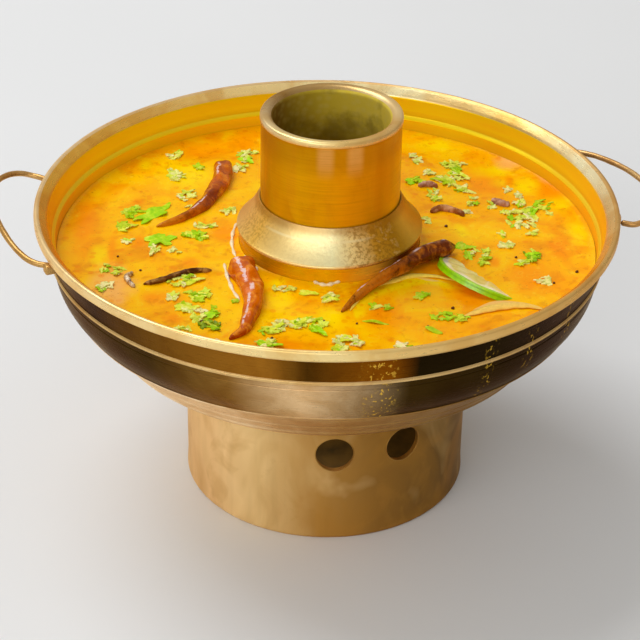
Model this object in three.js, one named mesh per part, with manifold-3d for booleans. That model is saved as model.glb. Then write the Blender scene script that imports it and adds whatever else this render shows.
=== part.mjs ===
// A brass chimney hot pot filled to near the rim with tom yum soup, dried chillies,
// a lime slice and chopped coriander. Millimetres, +Z up. The origin is on the table,
// at the middle of the pot; the handles lie roughly along X and one vent faces -Y.
import * as THREE from 'three';
import { mergeVertices } from 'three/addons/utils/BufferGeometryUtils.js';
import Module from 'manifold-3d';

const wasm = await Module();
wasm.setup();

// ---- Driving dimensions ----
const RIM_RADIUS = 140.8;
const RIM_HEIGHT = 150.3;
const CHIMNEY_HEIGHT = 197;
const WALL_RADIUS = 135.2;       // outside of the bowl just under the lip
const WAIST_RADIUS = 124.4;      // crease where the bowl meets its foot band
const FOOT_BAND_RADIUS = 105.4;  // lower edge of the foot band
const FIRE_TUBE_RADIUS = 44;     // brass tube that keeps the soup off the coals
const FIRE_TUBE_BORE = 41;
const COLLAR_RADIUS = 45;
const CHIMNEY_RADIUS = 33.6;
const CHIMNEY_BORE = 28;
const BASE_RADIUS = 70.4;
const BASE_FLARE = 0.7;          // how much wider the base is where it meets the bowl
const BASE_OFFSET = 1.1;         // the base is soldered on a little to the right
const CHIMNEY_OFFSET = 1.4;      // and so are the fire tube, collar and chimney
const BASE_WALL = 2.6;
const FLOOR_THICKNESS = 3;
const UNDERSIDE = RIM_HEIGHT - 70;  // flat underside of the bowl, which stands on the base
const TROUGH_FLOOR = RIM_HEIGHT - 64;
const SOUP_LEVEL = RIM_HEIGHT - 22;
const COLLAR_FOOT = RIM_HEIGHT - 13.9;
const CHIMNEY_FOOT = RIM_HEIGHT + 1;
const VENT_RADIUS = 9.3;
const VENT_HEIGHT = RIM_HEIGHT - 100.7;
const VENT_ANGLES = [-90, -61.5];   // degrees from +X
const ROD_RADIUS = 1.4;
const HANDLE_LIFT = RIM_HEIGHT - 7.5;
const HANDLES = {
  handle_right: { degrees: 12.2, reach: -0.4, spread: 0.93 },
  handle_left: { degrees: 182.3, reach: 0.9, spread: 1 },
};
const GAP = 0.3;
const SUNK = 1.2;                // how far a floating slice is made below the soup

const BOWL_SIDES = 60;
const CHIMNEY_SIDES = 48;
const FLOOR_SIDES = 36;
const CURVE_STEPS = 3;

const SKINS = {
  bowl: [0x9a6a28, 0.3, 1], base: [0xc08a48, 0.36, 1], chimney: [0xb5801e, 0.28, 1],
  collar: [0xd9b266, 0.42, 1], handle: [0xc79c56, 0.25, 1], soup: [0xf7a400, 0.2, 0],
  chilli: [0x7a2a08, 0.25, 0], stalk: [0xc9a56a, 0.5, 0], lime: [0xa4cc2c, 0.4, 0],
  slice: [0xf6d278, 0.4, 0], leaf: [0x9cc40c, 0.5, 0],
};
const model = new THREE.Group();

// ---- Helpers ----
function solidOf(geometry) {
  const bare = geometry.index ? geometry.toNonIndexed() : geometry.clone();
  bare.deleteAttribute('normal');
  bare.deleteAttribute('uv');
  const merged = mergeVertices(bare, 1e-4);
  const mesh = new wasm.Mesh({
    numProp: 3,
    vertProperties: new Float32Array(merged.attributes.position.array),
    triVerts: new Uint32Array(merged.index.array),
  });
  return new wasm.Manifold(mesh);
}

function geometryOf(solid) {
  const mesh = solid.getMesh();
  const geometry = new THREE.BufferGeometry();
  geometry.setAttribute('position', new THREE.BufferAttribute(mesh.vertProperties, 3));
  geometry.setIndex(new THREE.BufferAttribute(mesh.triVerts, 1));
  geometry.computeVertexNormals();
  return geometry;
}

function addNode(name, solid, skin) {
  const [color, roughness, metalness] = SKINS[skin];
  const material = new THREE.MeshStandardMaterial({ color, roughness, metalness });
  const mesh = new THREE.Mesh(geometryOf(solid), material);
  mesh.name = name;
  model.add(mesh);
}

// Turns a closed outline of radius and height about the pot's axis.
function turned(outline, sides) {
  const points = outline.getPoints(CURVE_STEPS);
  if (THREE.ShapeUtils.isClockWise(points)) points.reverse();
  if (points[0].distanceTo(points[points.length - 1]) > 1e-6) points.push(points[0].clone());
  return solidOf(new THREE.LatheGeometry(points, sides).rotateX(Math.PI / 2));
}

function polar(radius, degrees, height = 0) {
  const angle = THREE.MathUtils.degToRad(degrees);
  return new THREE.Vector3(radius * Math.cos(angle), radius * Math.sin(angle), height);
}

// Lays a rod of changing thickness along a smooth route; radiusAt gives its radius from 0 to 1.
function taperedRod(route, radiusAt, sides, steps, grow = 0) {
  const curve = new THREE.CatmullRomCurve3(route.map((point) => new THREE.Vector3(...point)));
  const frames = curve.computeFrenetFrames(steps, false);
  const rod = new THREE.CylinderGeometry(1, 1, 1, sides, steps);
  const place = rod.attributes.position;
  for (let i = 0; i < place.count; i += 1) {
    const along = place.getY(i) + 0.5;
    const step = Math.round(along * steps);
    const radius = radiusAt(along) + grow;
    const point = curve.getPointAt(along);
    point.addScaledVector(frames.normals[step], place.getZ(i) * radius);
    point.addScaledVector(frames.binormals[step], place.getX(i) * radius);
    place.setXYZ(i, point.x, point.y, point.z);
  }
  return solidOf(rod);
}

// ---- Brass ----
function bowlOutline() {
  const rim = RIM_HEIGHT;
  const outline = new THREE.Path();
  outline.moveTo(RIM_RADIUS - 5.9, rim - 3.6);
  outline.quadraticCurveTo(RIM_RADIUS - 4.2, rim - 0.9, RIM_RADIUS - 2, rim - 0.3);
  outline.lineTo(RIM_RADIUS - 1.2, rim);
  outline.quadraticCurveTo(RIM_RADIUS, rim - 0.2, RIM_RADIUS, rim - 2);
  outline.lineTo(RIM_RADIUS, rim - 4.4);
  outline.lineTo(RIM_RADIUS - 0.8, rim - 5.4);
  outline.lineTo(WALL_RADIUS, rim - 6);
  outline.lineTo(WALL_RADIUS - 1.8, rim - 19.8);
  outline.lineTo(WALL_RADIUS - 1.2, rim - 20.9);
  outline.lineTo(WALL_RADIUS - 2.6, rim - 22.2);
  outline.quadraticCurveTo(WALL_RADIUS - 4.2, rim - 34, WAIST_RADIUS, rim - 44.2);
  outline.lineTo(WAIST_RADIUS - 1.3, rim - 45.2);
  outline.lineTo(FOOT_BAND_RADIUS, rim - 65.4);
  outline.lineTo(FOOT_BAND_RADIUS - 1.2, rim - 66.9);
  outline.lineTo(BASE_RADIUS + 5, UNDERSIDE);
  outline.lineTo(FIRE_TUBE_BORE, UNDERSIDE);
  outline.lineTo(FIRE_TUBE_BORE, TROUGH_FLOOR);
  outline.lineTo(92, TROUGH_FLOOR);
  outline.quadraticCurveTo(113, TROUGH_FLOOR + 4, WALL_RADIUS - 9, rim - 34);
  outline.lineTo(WALL_RADIUS - 4.5, SOUP_LEVEL);
  outline.lineTo(WALL_RADIUS - 3.9, rim - 15.6);
  outline.lineTo(WALL_RADIUS - 2.4, rim - 13.8);
  outline.lineTo(WALL_RADIUS - 0.9, rim - 5);
  return outline;
}

// The hole for the fire tube, wider than the tube by a gap, and clear of everything inside it.
function tubeHole(gap) {
  const ring = new THREE.Path();
  ring.moveTo(FIRE_TUBE_BORE / 2, 0);
  ring.lineTo(FIRE_TUBE_RADIUS + gap, 0);
  ring.lineTo(FIRE_TUBE_RADIUS + gap, RIM_HEIGHT);
  ring.lineTo(FIRE_TUBE_BORE / 2, RIM_HEIGHT);
  return turned(ring, CHIMNEY_SIDES).translate([CHIMNEY_OFFSET, 0, 0]);
}

// The tube stands in the hole of the bowl's floor and carries the collar.
function fireTubeOutline() {
  const outline = new THREE.Path();
  outline.moveTo(FIRE_TUBE_BORE, UNDERSIDE);
  outline.lineTo(FIRE_TUBE_RADIUS, UNDERSIDE);
  outline.lineTo(FIRE_TUBE_RADIUS, COLLAR_FOOT - GAP);
  outline.lineTo(FIRE_TUBE_BORE, COLLAR_FOOT - GAP);
  return outline;
}

function baseSolid() {
  const wall = new THREE.Path();
  wall.moveTo(BASE_RADIUS - BASE_WALL, 0);
  wall.lineTo(BASE_RADIUS - 1, 0);
  wall.lineTo(BASE_RADIUS + 0.1, 1.4);
  wall.lineTo(BASE_RADIUS - 0.2, UNDERSIDE * 0.5);
  wall.lineTo(BASE_RADIUS + BASE_FLARE, UNDERSIDE - GAP);
  wall.lineTo(BASE_RADIUS + BASE_FLARE - BASE_WALL, UNDERSIDE - GAP);
  wall.lineTo(BASE_RADIUS - BASE_WALL, UNDERSIDE * 0.5);
  let base = turned(wall, BOWL_SIDES);
  for (const degrees of VENT_ANGLES) {
    const drill = new THREE.CylinderGeometry(VENT_RADIUS, VENT_RADIUS, 20, 24).rotateZ(Math.PI / 2);
    drill.rotateZ(THREE.MathUtils.degToRad(degrees));
    drill.translate(...polar(BASE_RADIUS, degrees, VENT_HEIGHT).toArray());
    base = base.subtract(solidOf(drill));
  }
  return base.translate([BASE_OFFSET, 0, 0]);
}

// A plain disc that catches the ash inside the base.
function ashFloorSolid() {
  const radius = BASE_RADIUS - BASE_WALL - GAP;
  const disc = new THREE.CylinderGeometry(radius, radius, FLOOR_THICKNESS, FLOOR_SIDES);
  disc.rotateX(Math.PI / 2).translate(BASE_OFFSET, 0, FLOOR_THICKNESS / 2);
  return solidOf(disc);
}

function collarOutline() {
  const ledge = CHIMNEY_FOOT - GAP;
  const socket = CHIMNEY_RADIUS + 0.4;
  const outline = new THREE.Path();
  outline.moveTo(socket, ledge);
  outline.lineTo(CHIMNEY_BORE, ledge);
  outline.lineTo(CHIMNEY_BORE, ledge - 4);
  outline.lineTo(FIRE_TUBE_BORE, COLLAR_FOOT);
  outline.lineTo(COLLAR_RADIUS - 0.6, COLLAR_FOOT);
  outline.lineTo(COLLAR_RADIUS, COLLAR_FOOT + 1.2);
  outline.lineTo(COLLAR_RADIUS - 0.1, COLLAR_FOOT + 2);
  outline.quadraticCurveTo(COLLAR_RADIUS - 2.4, CHIMNEY_FOOT - 1.1, socket + 0.6, CHIMNEY_FOOT + 1.5);
  outline.lineTo(socket, CHIMNEY_FOOT + 1.5);
  return outline;
}

function chimneyOutline() {
  const top = CHIMNEY_HEIGHT;
  const outline = new THREE.Path();
  outline.moveTo(CHIMNEY_BORE, CHIMNEY_FOOT);
  outline.lineTo(CHIMNEY_RADIUS, CHIMNEY_FOOT);
  outline.lineTo(CHIMNEY_RADIUS, top - 4.4);
  outline.lineTo(CHIMNEY_RADIUS + 0.5, top - 3.6);
  outline.lineTo(CHIMNEY_RADIUS + 0.4, top - 1.8);
  outline.quadraticCurveTo(CHIMNEY_RADIUS + 0.2, top, CHIMNEY_RADIUS - 1.9, top);
  outline.lineTo(CHIMNEY_BORE + 1.6, top - 0.2);
  outline.lineTo(CHIMNEY_BORE, top - 2);
  return outline;
}

// A loop of rod bent by hand, fuller towards one end, with a lug soldered on at each foot.
// Its points give the distance from the pot's axis and the place along the rim.
const HANDLE_ROUTE = [
  [130.6, -38.5], [135.5, -46], [141.5, -50], [148, -49.5], [154, -44.5], [158.2, -36],
  [159.8, -24], [159.2, -11], [157.2, 2], [153.6, 14.5], [149, 26], [143.5, 35], [138, 40], [130, 43],
];
const HANDLE_RISE = 0.25;        // how steeply the loop climbs outside the lip
const LUG = [7, 5, 4.6];

function handleSolid({ degrees, reach, spread }) {
  const route = HANDLE_ROUTE.map(([out, side]) => {
    const climb = HANDLE_RISE * Math.max(0, out - RIM_RADIUS);
    return new THREE.Vector3(out + reach, side * spread, HANDLE_LIFT + climb);
  });
  const section = new THREE.Shape();
  section.absarc(0, 0, ROD_RADIUS, 0, 2 * Math.PI);
  const rod = new THREE.ExtrudeGeometry([new THREE.Shape(section.getPoints(3).slice(0, -1))], {
    steps: 36,
    extrudePath: new THREE.CatmullRomCurve3(route),
  });
  let handle = solidOf(rod);
  for (const foot of [route[0], route[route.length - 1]]) {
    const bearing = Math.atan2(foot.y, foot.x);
    const lug = new THREE.BoxGeometry(...LUG);
    lug.translate(WALL_RADIUS + GAP + LUG[0] / 2 + 0.1, 0, HANDLE_LIFT - 0.8);
    handle = handle.add(solidOf(lug.rotateZ(bearing)));
  }
  // What reaches into the wall is cut off just clear of it.
  const wall = new THREE.CylinderGeometry(1, 1, 60, 4 * BOWL_SIDES);
  wall.scale(WALL_RADIUS + GAP, 1, WALL_RADIUS + GAP).rotateX(Math.PI / 2);
  wall.translate(0, 0, RIM_HEIGHT);
  return handle.subtract(solidOf(wall)).rotate([0, 0, degrees]);
}

// ---- Garnish ----
// Chillies: route, thickest radius, and how the radius goes from the cap to the tip.
const plump = (along) => Math.min(1, 0.55 + along * 5) * Math.pow(1 - along, 0.55) + 0.1;
const slender = (along) => 0.75 + 0.25 * Math.sin(Math.PI * along);
const FLOATING = SOUP_LEVEL + 1;
const CHILLIES = {
  chilli_back: {
    route: [[-48.3, 80.5, 1.5], [-49.1, 68, 1.5], [-51.3, 55.8, 1.2], [-55.5, 43.8, 1],
      [-60.5, 33.5, 0.6], [-67, 25.2, 0.3], [-75, 18.5, 0.2], [-83, 14.4, 0]],
    thick: 4.8, shape: plump,
  },
  chilli_front: {
    route: [[-43.9, -25.4, 1.5], [-40, -40.6, 1.8], [-37.7, -54.1, 1.6], [-37.8, -66.1, 1.2],
      [-40.2, -77.7, 0.8], [-43, -87, 0.4], [-49.5, -93.6, 0]],
    thick: 6.2, shape: plump,
  },
  chilli_leaning: {
    route: [[61.3, -15.4, 3], [53.6, -20.4, 4], [46.2, -25.5, 5], [39.4, -31.8, 5.4],
      [32.4, -38.8, 5.2], [26.4, -44, 4.6], [20.3, -49, 3.4], [14.3, -54.5, 2],
      [9.1, -61.1, 1], [5.5, -66.6, 0.4], [2.4, -71.2, 0]],
    thick: 4.2, shape: plump,
  },
  chilli_left: {
    route: [[-88.6, -42.6, 0], [-82, -40.3, 0.2], [-76, -37.1, 0.3], [-66.6, -31.6, 0.3], [-56.1, -30, 0]],
    thick: 1.5, shape: slender,
  },
  chilli_curl: {
    route: [[53.4, 25.7, 0], [58.7, 28.8, 0.4], [63.6, 27.6, 0.4], [68.3, 24.2, 0.2], [69.9, 21, 0]],
    thick: 1.7, shape: slender,
  },
  chilli_scrap_back: {
    route: [[50.1, 54.2, 0], [55.4, 55.6, 0.3], [60.2, 52.8, 0]], thick: 1.7, shape: slender,
  },
  chilli_scrap_right: {
    route: [[86.1, 37.8, 0], [88.8, 34.6, 0.3], [94.4, 32.1, 0]], thick: 1.8, shape: slender,
  },
  chilli_stalk: {
    route: [[-92.4, -45.3, 0], [-95, -40.6, 0.4], [-96.4, -35.8, 0.5], [-93.4, -31.6, 0.2]],
    thick: 1.3, shape: slender,
  },
};

function chilliSolid({ route, thick, shape }, grow = 0) {
  const lifted = route.map(([x, y, lift]) => [x, y, FLOATING + lift]);
  const big = thick > 3;
  const radiusAt = (along) => thick * shape(along);
  return taperedRod(lifted, radiusAt, big ? 8 : 6, big ? 12 : 6, grow);
}

// Round slices that float with one edge up, kept from just under the soup.
const SLICES = {
  lime_slice: {
    centre: [75.5, -35.4], radius: 26, thick: 4.2, raised: 212.5, tilt: 26.4, edge: 8.5, skin: 'lime',
  },
  round_slice_front: {
    centre: [37.5, -68.5], radius: 30, thick: 3, raised: 78, tilt: 4, edge: 0.9, skin: 'slice',
  },
  round_slice_right: {
    centre: [80.5, -92.5], radius: 30, thick: 3, raised: 94, tilt: 16, edge: 2, skin: 'slice',
  },
};

function sliceSolid({ centre, radius, thick, raised, tilt, edge }, grow = 0) {
  const lean = THREE.MathUtils.degToRad(tilt);
  const disc = new THREE.CylinderGeometry(radius + grow, radius + grow, thick + 2 * grow, 36);
  disc.rotateX(Math.PI / 2).rotateY(-lean).rotateZ(THREE.MathUtils.degToRad(raised));
  const middle = SOUP_LEVEL + edge - radius * Math.sin(lean) - (thick / 2) * Math.cos(lean);
  disc.translate(centre[0], centre[1], middle);
  const floor = SOUP_LEVEL - SUNK - grow;
  const kept = new THREE.BoxGeometry(400, 400, 100).translate(0, 0, floor + 50);
  return solidOf(disc).intersect(solidOf(kept));
}

// Leaves: place, length, width, turn in degrees, and lobes (0 for a cut strip of stem).
const LEAVES = [
  [-84.5, 28.5, 27, 11, 50, 5], [-98, 15.5, 13, 8, 20, 3], [-81, 1.5, 17, 14, 20, 5], [-64, 5.5, 15, 5, -22, 3],
  [-66.5, -40, 16, 6, 24, 3], [-62.5, -54, 13, 7, 18, 3], [-57, -71, 9, 7, 30, 3], [-69, -64, 14, 5, 10, 3],
  [-30, -83.5, 13, 6, 24, 3], [-17, -78, 12, 6, 28, 3], [-9, -86.5, 12, 5, -52, 3], [4, -94.5, 15, 7, -14, 3],
  [0, -103.5, 10, 5, 4, 3], [-32, -97.5, 14, 6, -16, 3], [-12, -52, 11, 5, -18, 3], [-2, -59, 9, 5, -10, 3],
  [17.5, -79.5, 13, 2.6, -16, 0], [43.5, -88, 9, 2.6, -34, 0], [66.5, -9.5, 12, 8, -20, 3],
  [98.5, -20, 9, 8, 20, 3], [72, 68, 15, 6, -38, 3], [63, 62, 13, 4, -22, 0], [47.5, 60, 9, 6, 24, 3],
  [104, 25, 10, 7, 40, 3], [-37, 88, 12, 6, -50, 3],
];
const LEAF_THICKNESS = 0.5;
const LEAF_WAVE = 0.9;

function leafOutline(length, width, lobes, count) {
  const points = [];
  for (let i = 0; i < count; i += 1) {
    const angle = (2 * Math.PI * i) / count;
    const lobe = lobes ? 0.78 + 0.22 * Math.cos(lobes * angle) : 1;
    const [along, across] = [(length / 2) * lobe, (width / 2) * lobe];
    points.push(new THREE.Vector2(along * Math.cos(angle), across * Math.sin(angle)));
  }
  return new THREE.Shape(points);
}

function leafSolid([x, y, length, width, turn, lobes]) {
  const leaf = new THREE.ExtrudeGeometry(leafOutline(length, width, lobes, lobes ? 14 : 8), {
    depth: LEAF_THICKNESS, bevelEnabled: false,
  });
  const place = leaf.attributes.position;
  for (let i = 0; i < place.count; i += 1) {
    const wave = 0.5 + 0.25 * Math.sin(0.7 * place.getX(i) + turn) + 0.25 * Math.sin(0.8 * place.getY(i) + x);
    place.setZ(i, place.getZ(i) + LEAF_WAVE * wave);
  }
  leaf.rotateZ(THREE.MathUtils.degToRad(turn)).translate(x, y, SOUP_LEVEL + GAP);
  return solidOf(leaf);
}

// Chopped stems and leaf bits, strewn in patches: centre, spread, pieces.
const HERB_PATCHES = [
  [-97, 24, 10, 4], [-72, 50, 10, 4], [-74, 96, 5, 1], [-80, -10, 7, 3], [-96, -9, 6, 2], [-105, -27, 6, 3],
  [-107, -43, 5, 2], [-75, -56, 7, 3], [-62, -78, 6, 3], [-48, -34, 3, 1], [-21, -92, 9, 4], [-24, -70, 6, 2],
  [28, -103, 4, 1], [-22, -44, 5, 2], [88, -6, 6, 3], [101, -42, 4, 2], [92, -22, 3, 1], [101, 12, 8, 5],
  [96, 33, 7, 3], [110, 30, 6, 3], [80, 34, 6, 3], [70, 45, 7, 3], [52, 84, 6, 2], [-38, 97, 5, 2],
  [-48, 34, 4, 2], [82, 18, 5, 2], [99, 46, 4, 2], [120, 8, 4, 1],
];
const HERB_SIDES = 6;

function seededDraw(seed) {
  let state = seed;
  return () => {
    state = (state * 16807) % 2147483647;
    return state / 2147483647;
  };
}

// Circles on the soup's surface that strewn bits stay clear of.
function takenCircles() {
  const circles = LEAVES.map(([x, y, length]) => [x, y, length / 2]);
  for (const { route, thick } of Object.values(CHILLIES)) {
    const curve = new THREE.CatmullRomCurve3(route.map((point) => new THREE.Vector3(...point)));
    for (const point of curve.getPoints(16)) circles.push([point.x, point.y, thick]);
  }
  for (const { centre, radius } of Object.values(SLICES)) circles.push([centre[0], centre[1], radius]);
  return circles;
}

function herbBits() {
  const draw = seededDraw(4711);
  const taken = takenCircles();
  const bits = [];
  for (const [patchX, patchY, spread, pieces] of HERB_PATCHES) {
    for (let i = 0; i < pieces; i += 1) {
      const out = polar(spread * Math.sqrt(draw()), 360 * draw());
      const [x, y] = [patchX + out.x, patchY + out.y];
      const length = 3.4 + 3.4 * draw();
      const turn = 180 * draw();
      const clear = taken.every(([cx, cy, r]) => Math.hypot(x - cx, y - cy) > r + length / 2 + 0.6);
      const inside = Math.hypot(x, y) < 124 - length / 2 && Math.hypot(x, y) > 49 + length / 2;
      if (!clear || !inside) continue;
      taken.push([x, y, length / 2]);
      const outline = leafOutline(length, length * 0.55, 0, HERB_SIDES);
      const bit = new THREE.ExtrudeGeometry(outline, { depth: 1.5, bevelEnabled: false });
      bit.rotateZ(THREE.MathUtils.degToRad(turn)).translate(x, y, SOUP_LEVEL - 0.7);
      bits.push(solidOf(bit));
    }
  }
  return bits;
}

function soupSolid(pockets) {
  const gap = GAP + 0.1;
  const outline = new THREE.Path();
  outline.moveTo(FIRE_TUBE_BORE, SOUP_LEVEL);
  outline.lineTo(FIRE_TUBE_BORE, TROUGH_FLOOR + gap);
  outline.lineTo(91.8, TROUGH_FLOOR + gap);
  outline.quadraticCurveTo(112.6, TROUGH_FLOOR + 4.4, WALL_RADIUS - 9.4, RIM_HEIGHT - 34);
  outline.lineTo(WALL_RADIUS - 4.5 - gap, SOUP_LEVEL);
  let soup = turned(outline, BOWL_SIDES).subtract(tubeHole(gap));
  for (const pocket of pockets) soup = soup.subtract(pocket);
  for (const bit of herbBits()) soup = soup.add(bit);
  return soup;
}

// ---- Assembly ----
const centred = (outline) => turned(outline, CHIMNEY_SIDES).translate([CHIMNEY_OFFSET, 0, 0]);
addNode('bowl', turned(bowlOutline(), BOWL_SIDES).subtract(tubeHole(GAP)), 'bowl');
addNode('fire_tube', centred(fireTubeOutline()), 'chimney');
addNode('base', baseSolid(), 'base');
addNode('ash_floor', ashFloorSolid(), 'base');
addNode('chimney', centred(chimneyOutline()), 'chimney');
addNode('collar', centred(collarOutline()), 'collar');
for (const [name, handle] of Object.entries(HANDLES)) addNode(name, handleSolid(handle), 'handle');

const pockets = [];
for (const [name, chilli] of Object.entries(CHILLIES)) {
  addNode(name, chilliSolid(chilli), name === 'chilli_stalk' ? 'stalk' : 'chilli');
  pockets.push(chilliSolid(chilli, GAP + 0.1));
}
// Each slice keeps clear of the leaning chilli and of the slices before it.
const neighbours = [chilliSolid(CHILLIES.chilli_leaning, GAP + 0.1)];
for (const [name, slice] of Object.entries(SLICES)) {
  addNode(name, neighbours.reduce((kept, other) => kept.subtract(other), sliceSolid(slice)), slice.skin);
  neighbours.push(sliceSolid(slice, GAP + 0.1));
}
pockets.push(...neighbours.slice(1));
LEAVES.forEach((leaf, i) => addNode(`leaf_${String(i + 1).padStart(2, '0')}`, leafSolid(leaf), 'leaf'));
addNode('soup', soupSolid(pockets), 'soup');

export default model;
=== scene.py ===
import math
import random

import bpy
from mathutils import Matrix, Vector, noise


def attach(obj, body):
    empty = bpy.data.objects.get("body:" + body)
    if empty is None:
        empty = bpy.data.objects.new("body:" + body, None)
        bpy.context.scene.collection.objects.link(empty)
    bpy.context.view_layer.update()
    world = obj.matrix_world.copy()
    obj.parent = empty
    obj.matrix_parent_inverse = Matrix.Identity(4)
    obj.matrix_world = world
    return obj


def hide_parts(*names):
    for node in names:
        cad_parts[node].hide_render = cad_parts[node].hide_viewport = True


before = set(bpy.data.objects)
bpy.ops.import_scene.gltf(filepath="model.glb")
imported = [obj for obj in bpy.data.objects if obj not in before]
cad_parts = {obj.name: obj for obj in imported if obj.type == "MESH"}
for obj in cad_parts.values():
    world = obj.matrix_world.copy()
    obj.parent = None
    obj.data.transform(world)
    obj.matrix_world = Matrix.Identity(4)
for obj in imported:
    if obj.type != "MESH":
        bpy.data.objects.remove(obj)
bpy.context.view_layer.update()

# ---- Sizes in millimetres, shared with the part ----
MM = 0.001
RIM = 150.3
SOUP_LEVEL = 128.3
CHIMNEY_TOP = 197
CHIMNEY_FOOT = 151.3
COLLAR_FOOT = 136.4
UNDERSIDE = 80.3
BASE_RADIUS = 70.4
BASE_OFFSET = 1.1
VENTS = {"front": -90, "side": -61.5}
VENT_RADIUS = 9.3
VENT_HEIGHT = 49.6
CHIMNEY_OFFSET = 1.4
CHIMNEY_RADIUS = 33.6
CHIMNEY_BORE = 28
WALL_AT_SOUP = 130.7
SOUP_FLOOR = RIM - 63.8
FIRE_TUBE = 44
FIRE_TUBE_BORE = 41
HANDLE_LIFT = 142.8
LUG_DISTANCE = 139.1
SLICE_SINK = 2.4
FULL = 1000  # a rounding that bends a corner the whole way
WARM = (1.0, 0.58, 0.08, 1)  # tint of the shine on brass

random.seed(4711)


# ---- Working by hand: small helpers ----
def clamp(share):
    return max(0.0, min(1.0, share))


def alone(piece):
    """Leaves only this piece selected and active."""
    bpy.ops.object.select_all(action="DESELECT")
    piece.select_set(True)
    bpy.context.view_layer.objects.active = piece


def added(kind, **settings):
    """Adds a primitive with nothing else selected."""
    bpy.ops.object.select_all(action="DESELECT")
    getattr(bpy.ops.mesh, f"primitive_{kind}_add")(**settings)
    return bpy.context.object


def edit(piece):
    alone(piece)
    bpy.ops.object.mode_set(mode="EDIT")
    bpy.ops.mesh.select_all(action="SELECT")


def done():
    bpy.ops.object.mode_set(mode="OBJECT")


def subdivided(piece, cuts):
    edit(piece)
    bpy.ops.mesh.subdivide(number_cuts=cuts)
    done()
    return piece


def weld(piece):
    """Merges doubled vertices and turns all faces outwards."""
    edit(piece)
    bpy.ops.mesh.remove_doubles(threshold=1e-6)
    bpy.ops.mesh.normals_make_consistent(inside=False)
    done()


def smooth(piece, degrees=40):
    alone(piece)
    bpy.ops.object.shade_smooth_by_angle(angle=math.radians(degrees))


def apply_modifiers(piece):
    alone(piece)
    for modifier in list(piece.modifiers):
        bpy.ops.object.modifier_apply(modifier=modifier.name)


def thickened(piece, thickness):
    """Gives a sheet its thickness, half of it to each side."""
    sheet = piece.modifiers.new("sheet", "SOLIDIFY")
    sheet.thickness = thickness * MM
    sheet.offset = 0
    apply_modifiers(piece)
    return piece


def copy_of(piece):
    copied = piece.copy()
    copied.data = piece.data.copy()
    bpy.context.scene.collection.objects.link(copied)
    return copied


def join_parts(parts):
    bpy.ops.object.select_all(action="DESELECT")
    for part in parts:
        part.select_set(True)
    bpy.context.view_layer.objects.active = parts[0]
    bpy.ops.object.join()


def settle(piece, name, replaced=()):
    """Names a finished piece, puts its place into its mesh and fixes it to the pot."""
    piece.name = name
    piece.data.name = name
    alone(piece)
    bpy.ops.object.transform_apply(location=True, rotation=True, scale=True)
    if replaced:
        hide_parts(*replaced)
    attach(piece, "root")
    return piece


def wear(piece, *materials):
    piece.data.materials.clear()
    for material in materials:
        piece.data.materials.append(material)


def move_points(piece, change):
    points = piece.data.vertices
    places = [(point.co.copy(), point.normal.copy()) for point in points]
    moved = [c for place, normal in places for c in change(place, normal)]
    points.foreach_set("co", moved)
    piece.data.update()


def rounded(corners, steps=4):
    """Outline points from corners given as (radius, height, rounding); FULL bends the whole way."""
    points = []
    for i, (radius, height, fillet) in enumerate(corners):
        here = Vector((radius, height))
        before = Vector(corners[i - 1][:2]) - here
        after = Vector(corners[(i + 1) % len(corners)][:2]) - here
        if not fillet:
            points.append(here)
            continue
        share, bends = (0.98, 14) if fillet == FULL else (0.48, steps)
        start = here + before.normalized() * min(fillet, before.length * share)
        end = here + after.normalized() * min(fillet, after.length * share)
        for k in range(bends + 1):
            t = k / bends
            points.append(start * (1 - t) ** 2 + here * 2 * t * (1 - t) + end * t**2)
    return points


def spaced(points, step):
    """Adds points so that no stretch of a closed outline is longer than step."""
    out = []
    for here, after in zip(points, points[1:] + points[:1]):
        pieces = max(1, math.ceil((after - here).length / step))
        out += [here.lerp(after, k / pieces) for k in range(pieces)]
    return out


def spun(outline, steps, centre=0.0):
    """Spins a closed outline of radius and height about the vertical through (centre, 0)."""
    piece = added("circle", vertices=len(outline), radius=0.01, fill_type="NOTHING")
    for vertex, (radius, height) in zip(piece.data.vertices, outline):
        vertex.co = Vector(((centre + radius) * MM, 0, height * MM))
    edit(piece)
    bpy.ops.mesh.spin(steps=steps, angle=2 * math.pi, center=(centre * MM, 0, 0), axis=(0, 0, 1))
    done()
    weld(piece)
    return piece


def smooth_route(points, count):
    """Evenly spread places on a Catmull-Rom curve through the points, in metres."""
    rough = []
    padded = [points[0] * 2 - points[1], *points, points[-1] * 2 - points[-2]]
    for i in range(1, len(padded) - 2):
        a, b, c, d = padded[i - 1 : i + 3]
        square, cube = 2 * a - 5 * b + 4 * c - d, 3 * b - a - 3 * c + d
        for k in range(24):
            t = k / 24
            rough.append(0.5 * ((2 * b) + (c - a) * t + square * t**2 + cube * t**3))
    rough.append(points[-1].copy())
    lengths = [0.0]
    for here, after in zip(rough, rough[1:]):
        lengths.append(lengths[-1] + (after - here).length)
    out, k = [], 0
    for i in range(count + 1):
        want = lengths[-1] * i / count
        while k < len(lengths) - 2 and lengths[k + 1] < want:
            k += 1
        share = (want - lengths[k]) / max(lengths[k + 1] - lengths[k], 1e-9)
        out.append(rough[k].lerp(rough[k + 1], share))
    return out


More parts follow.
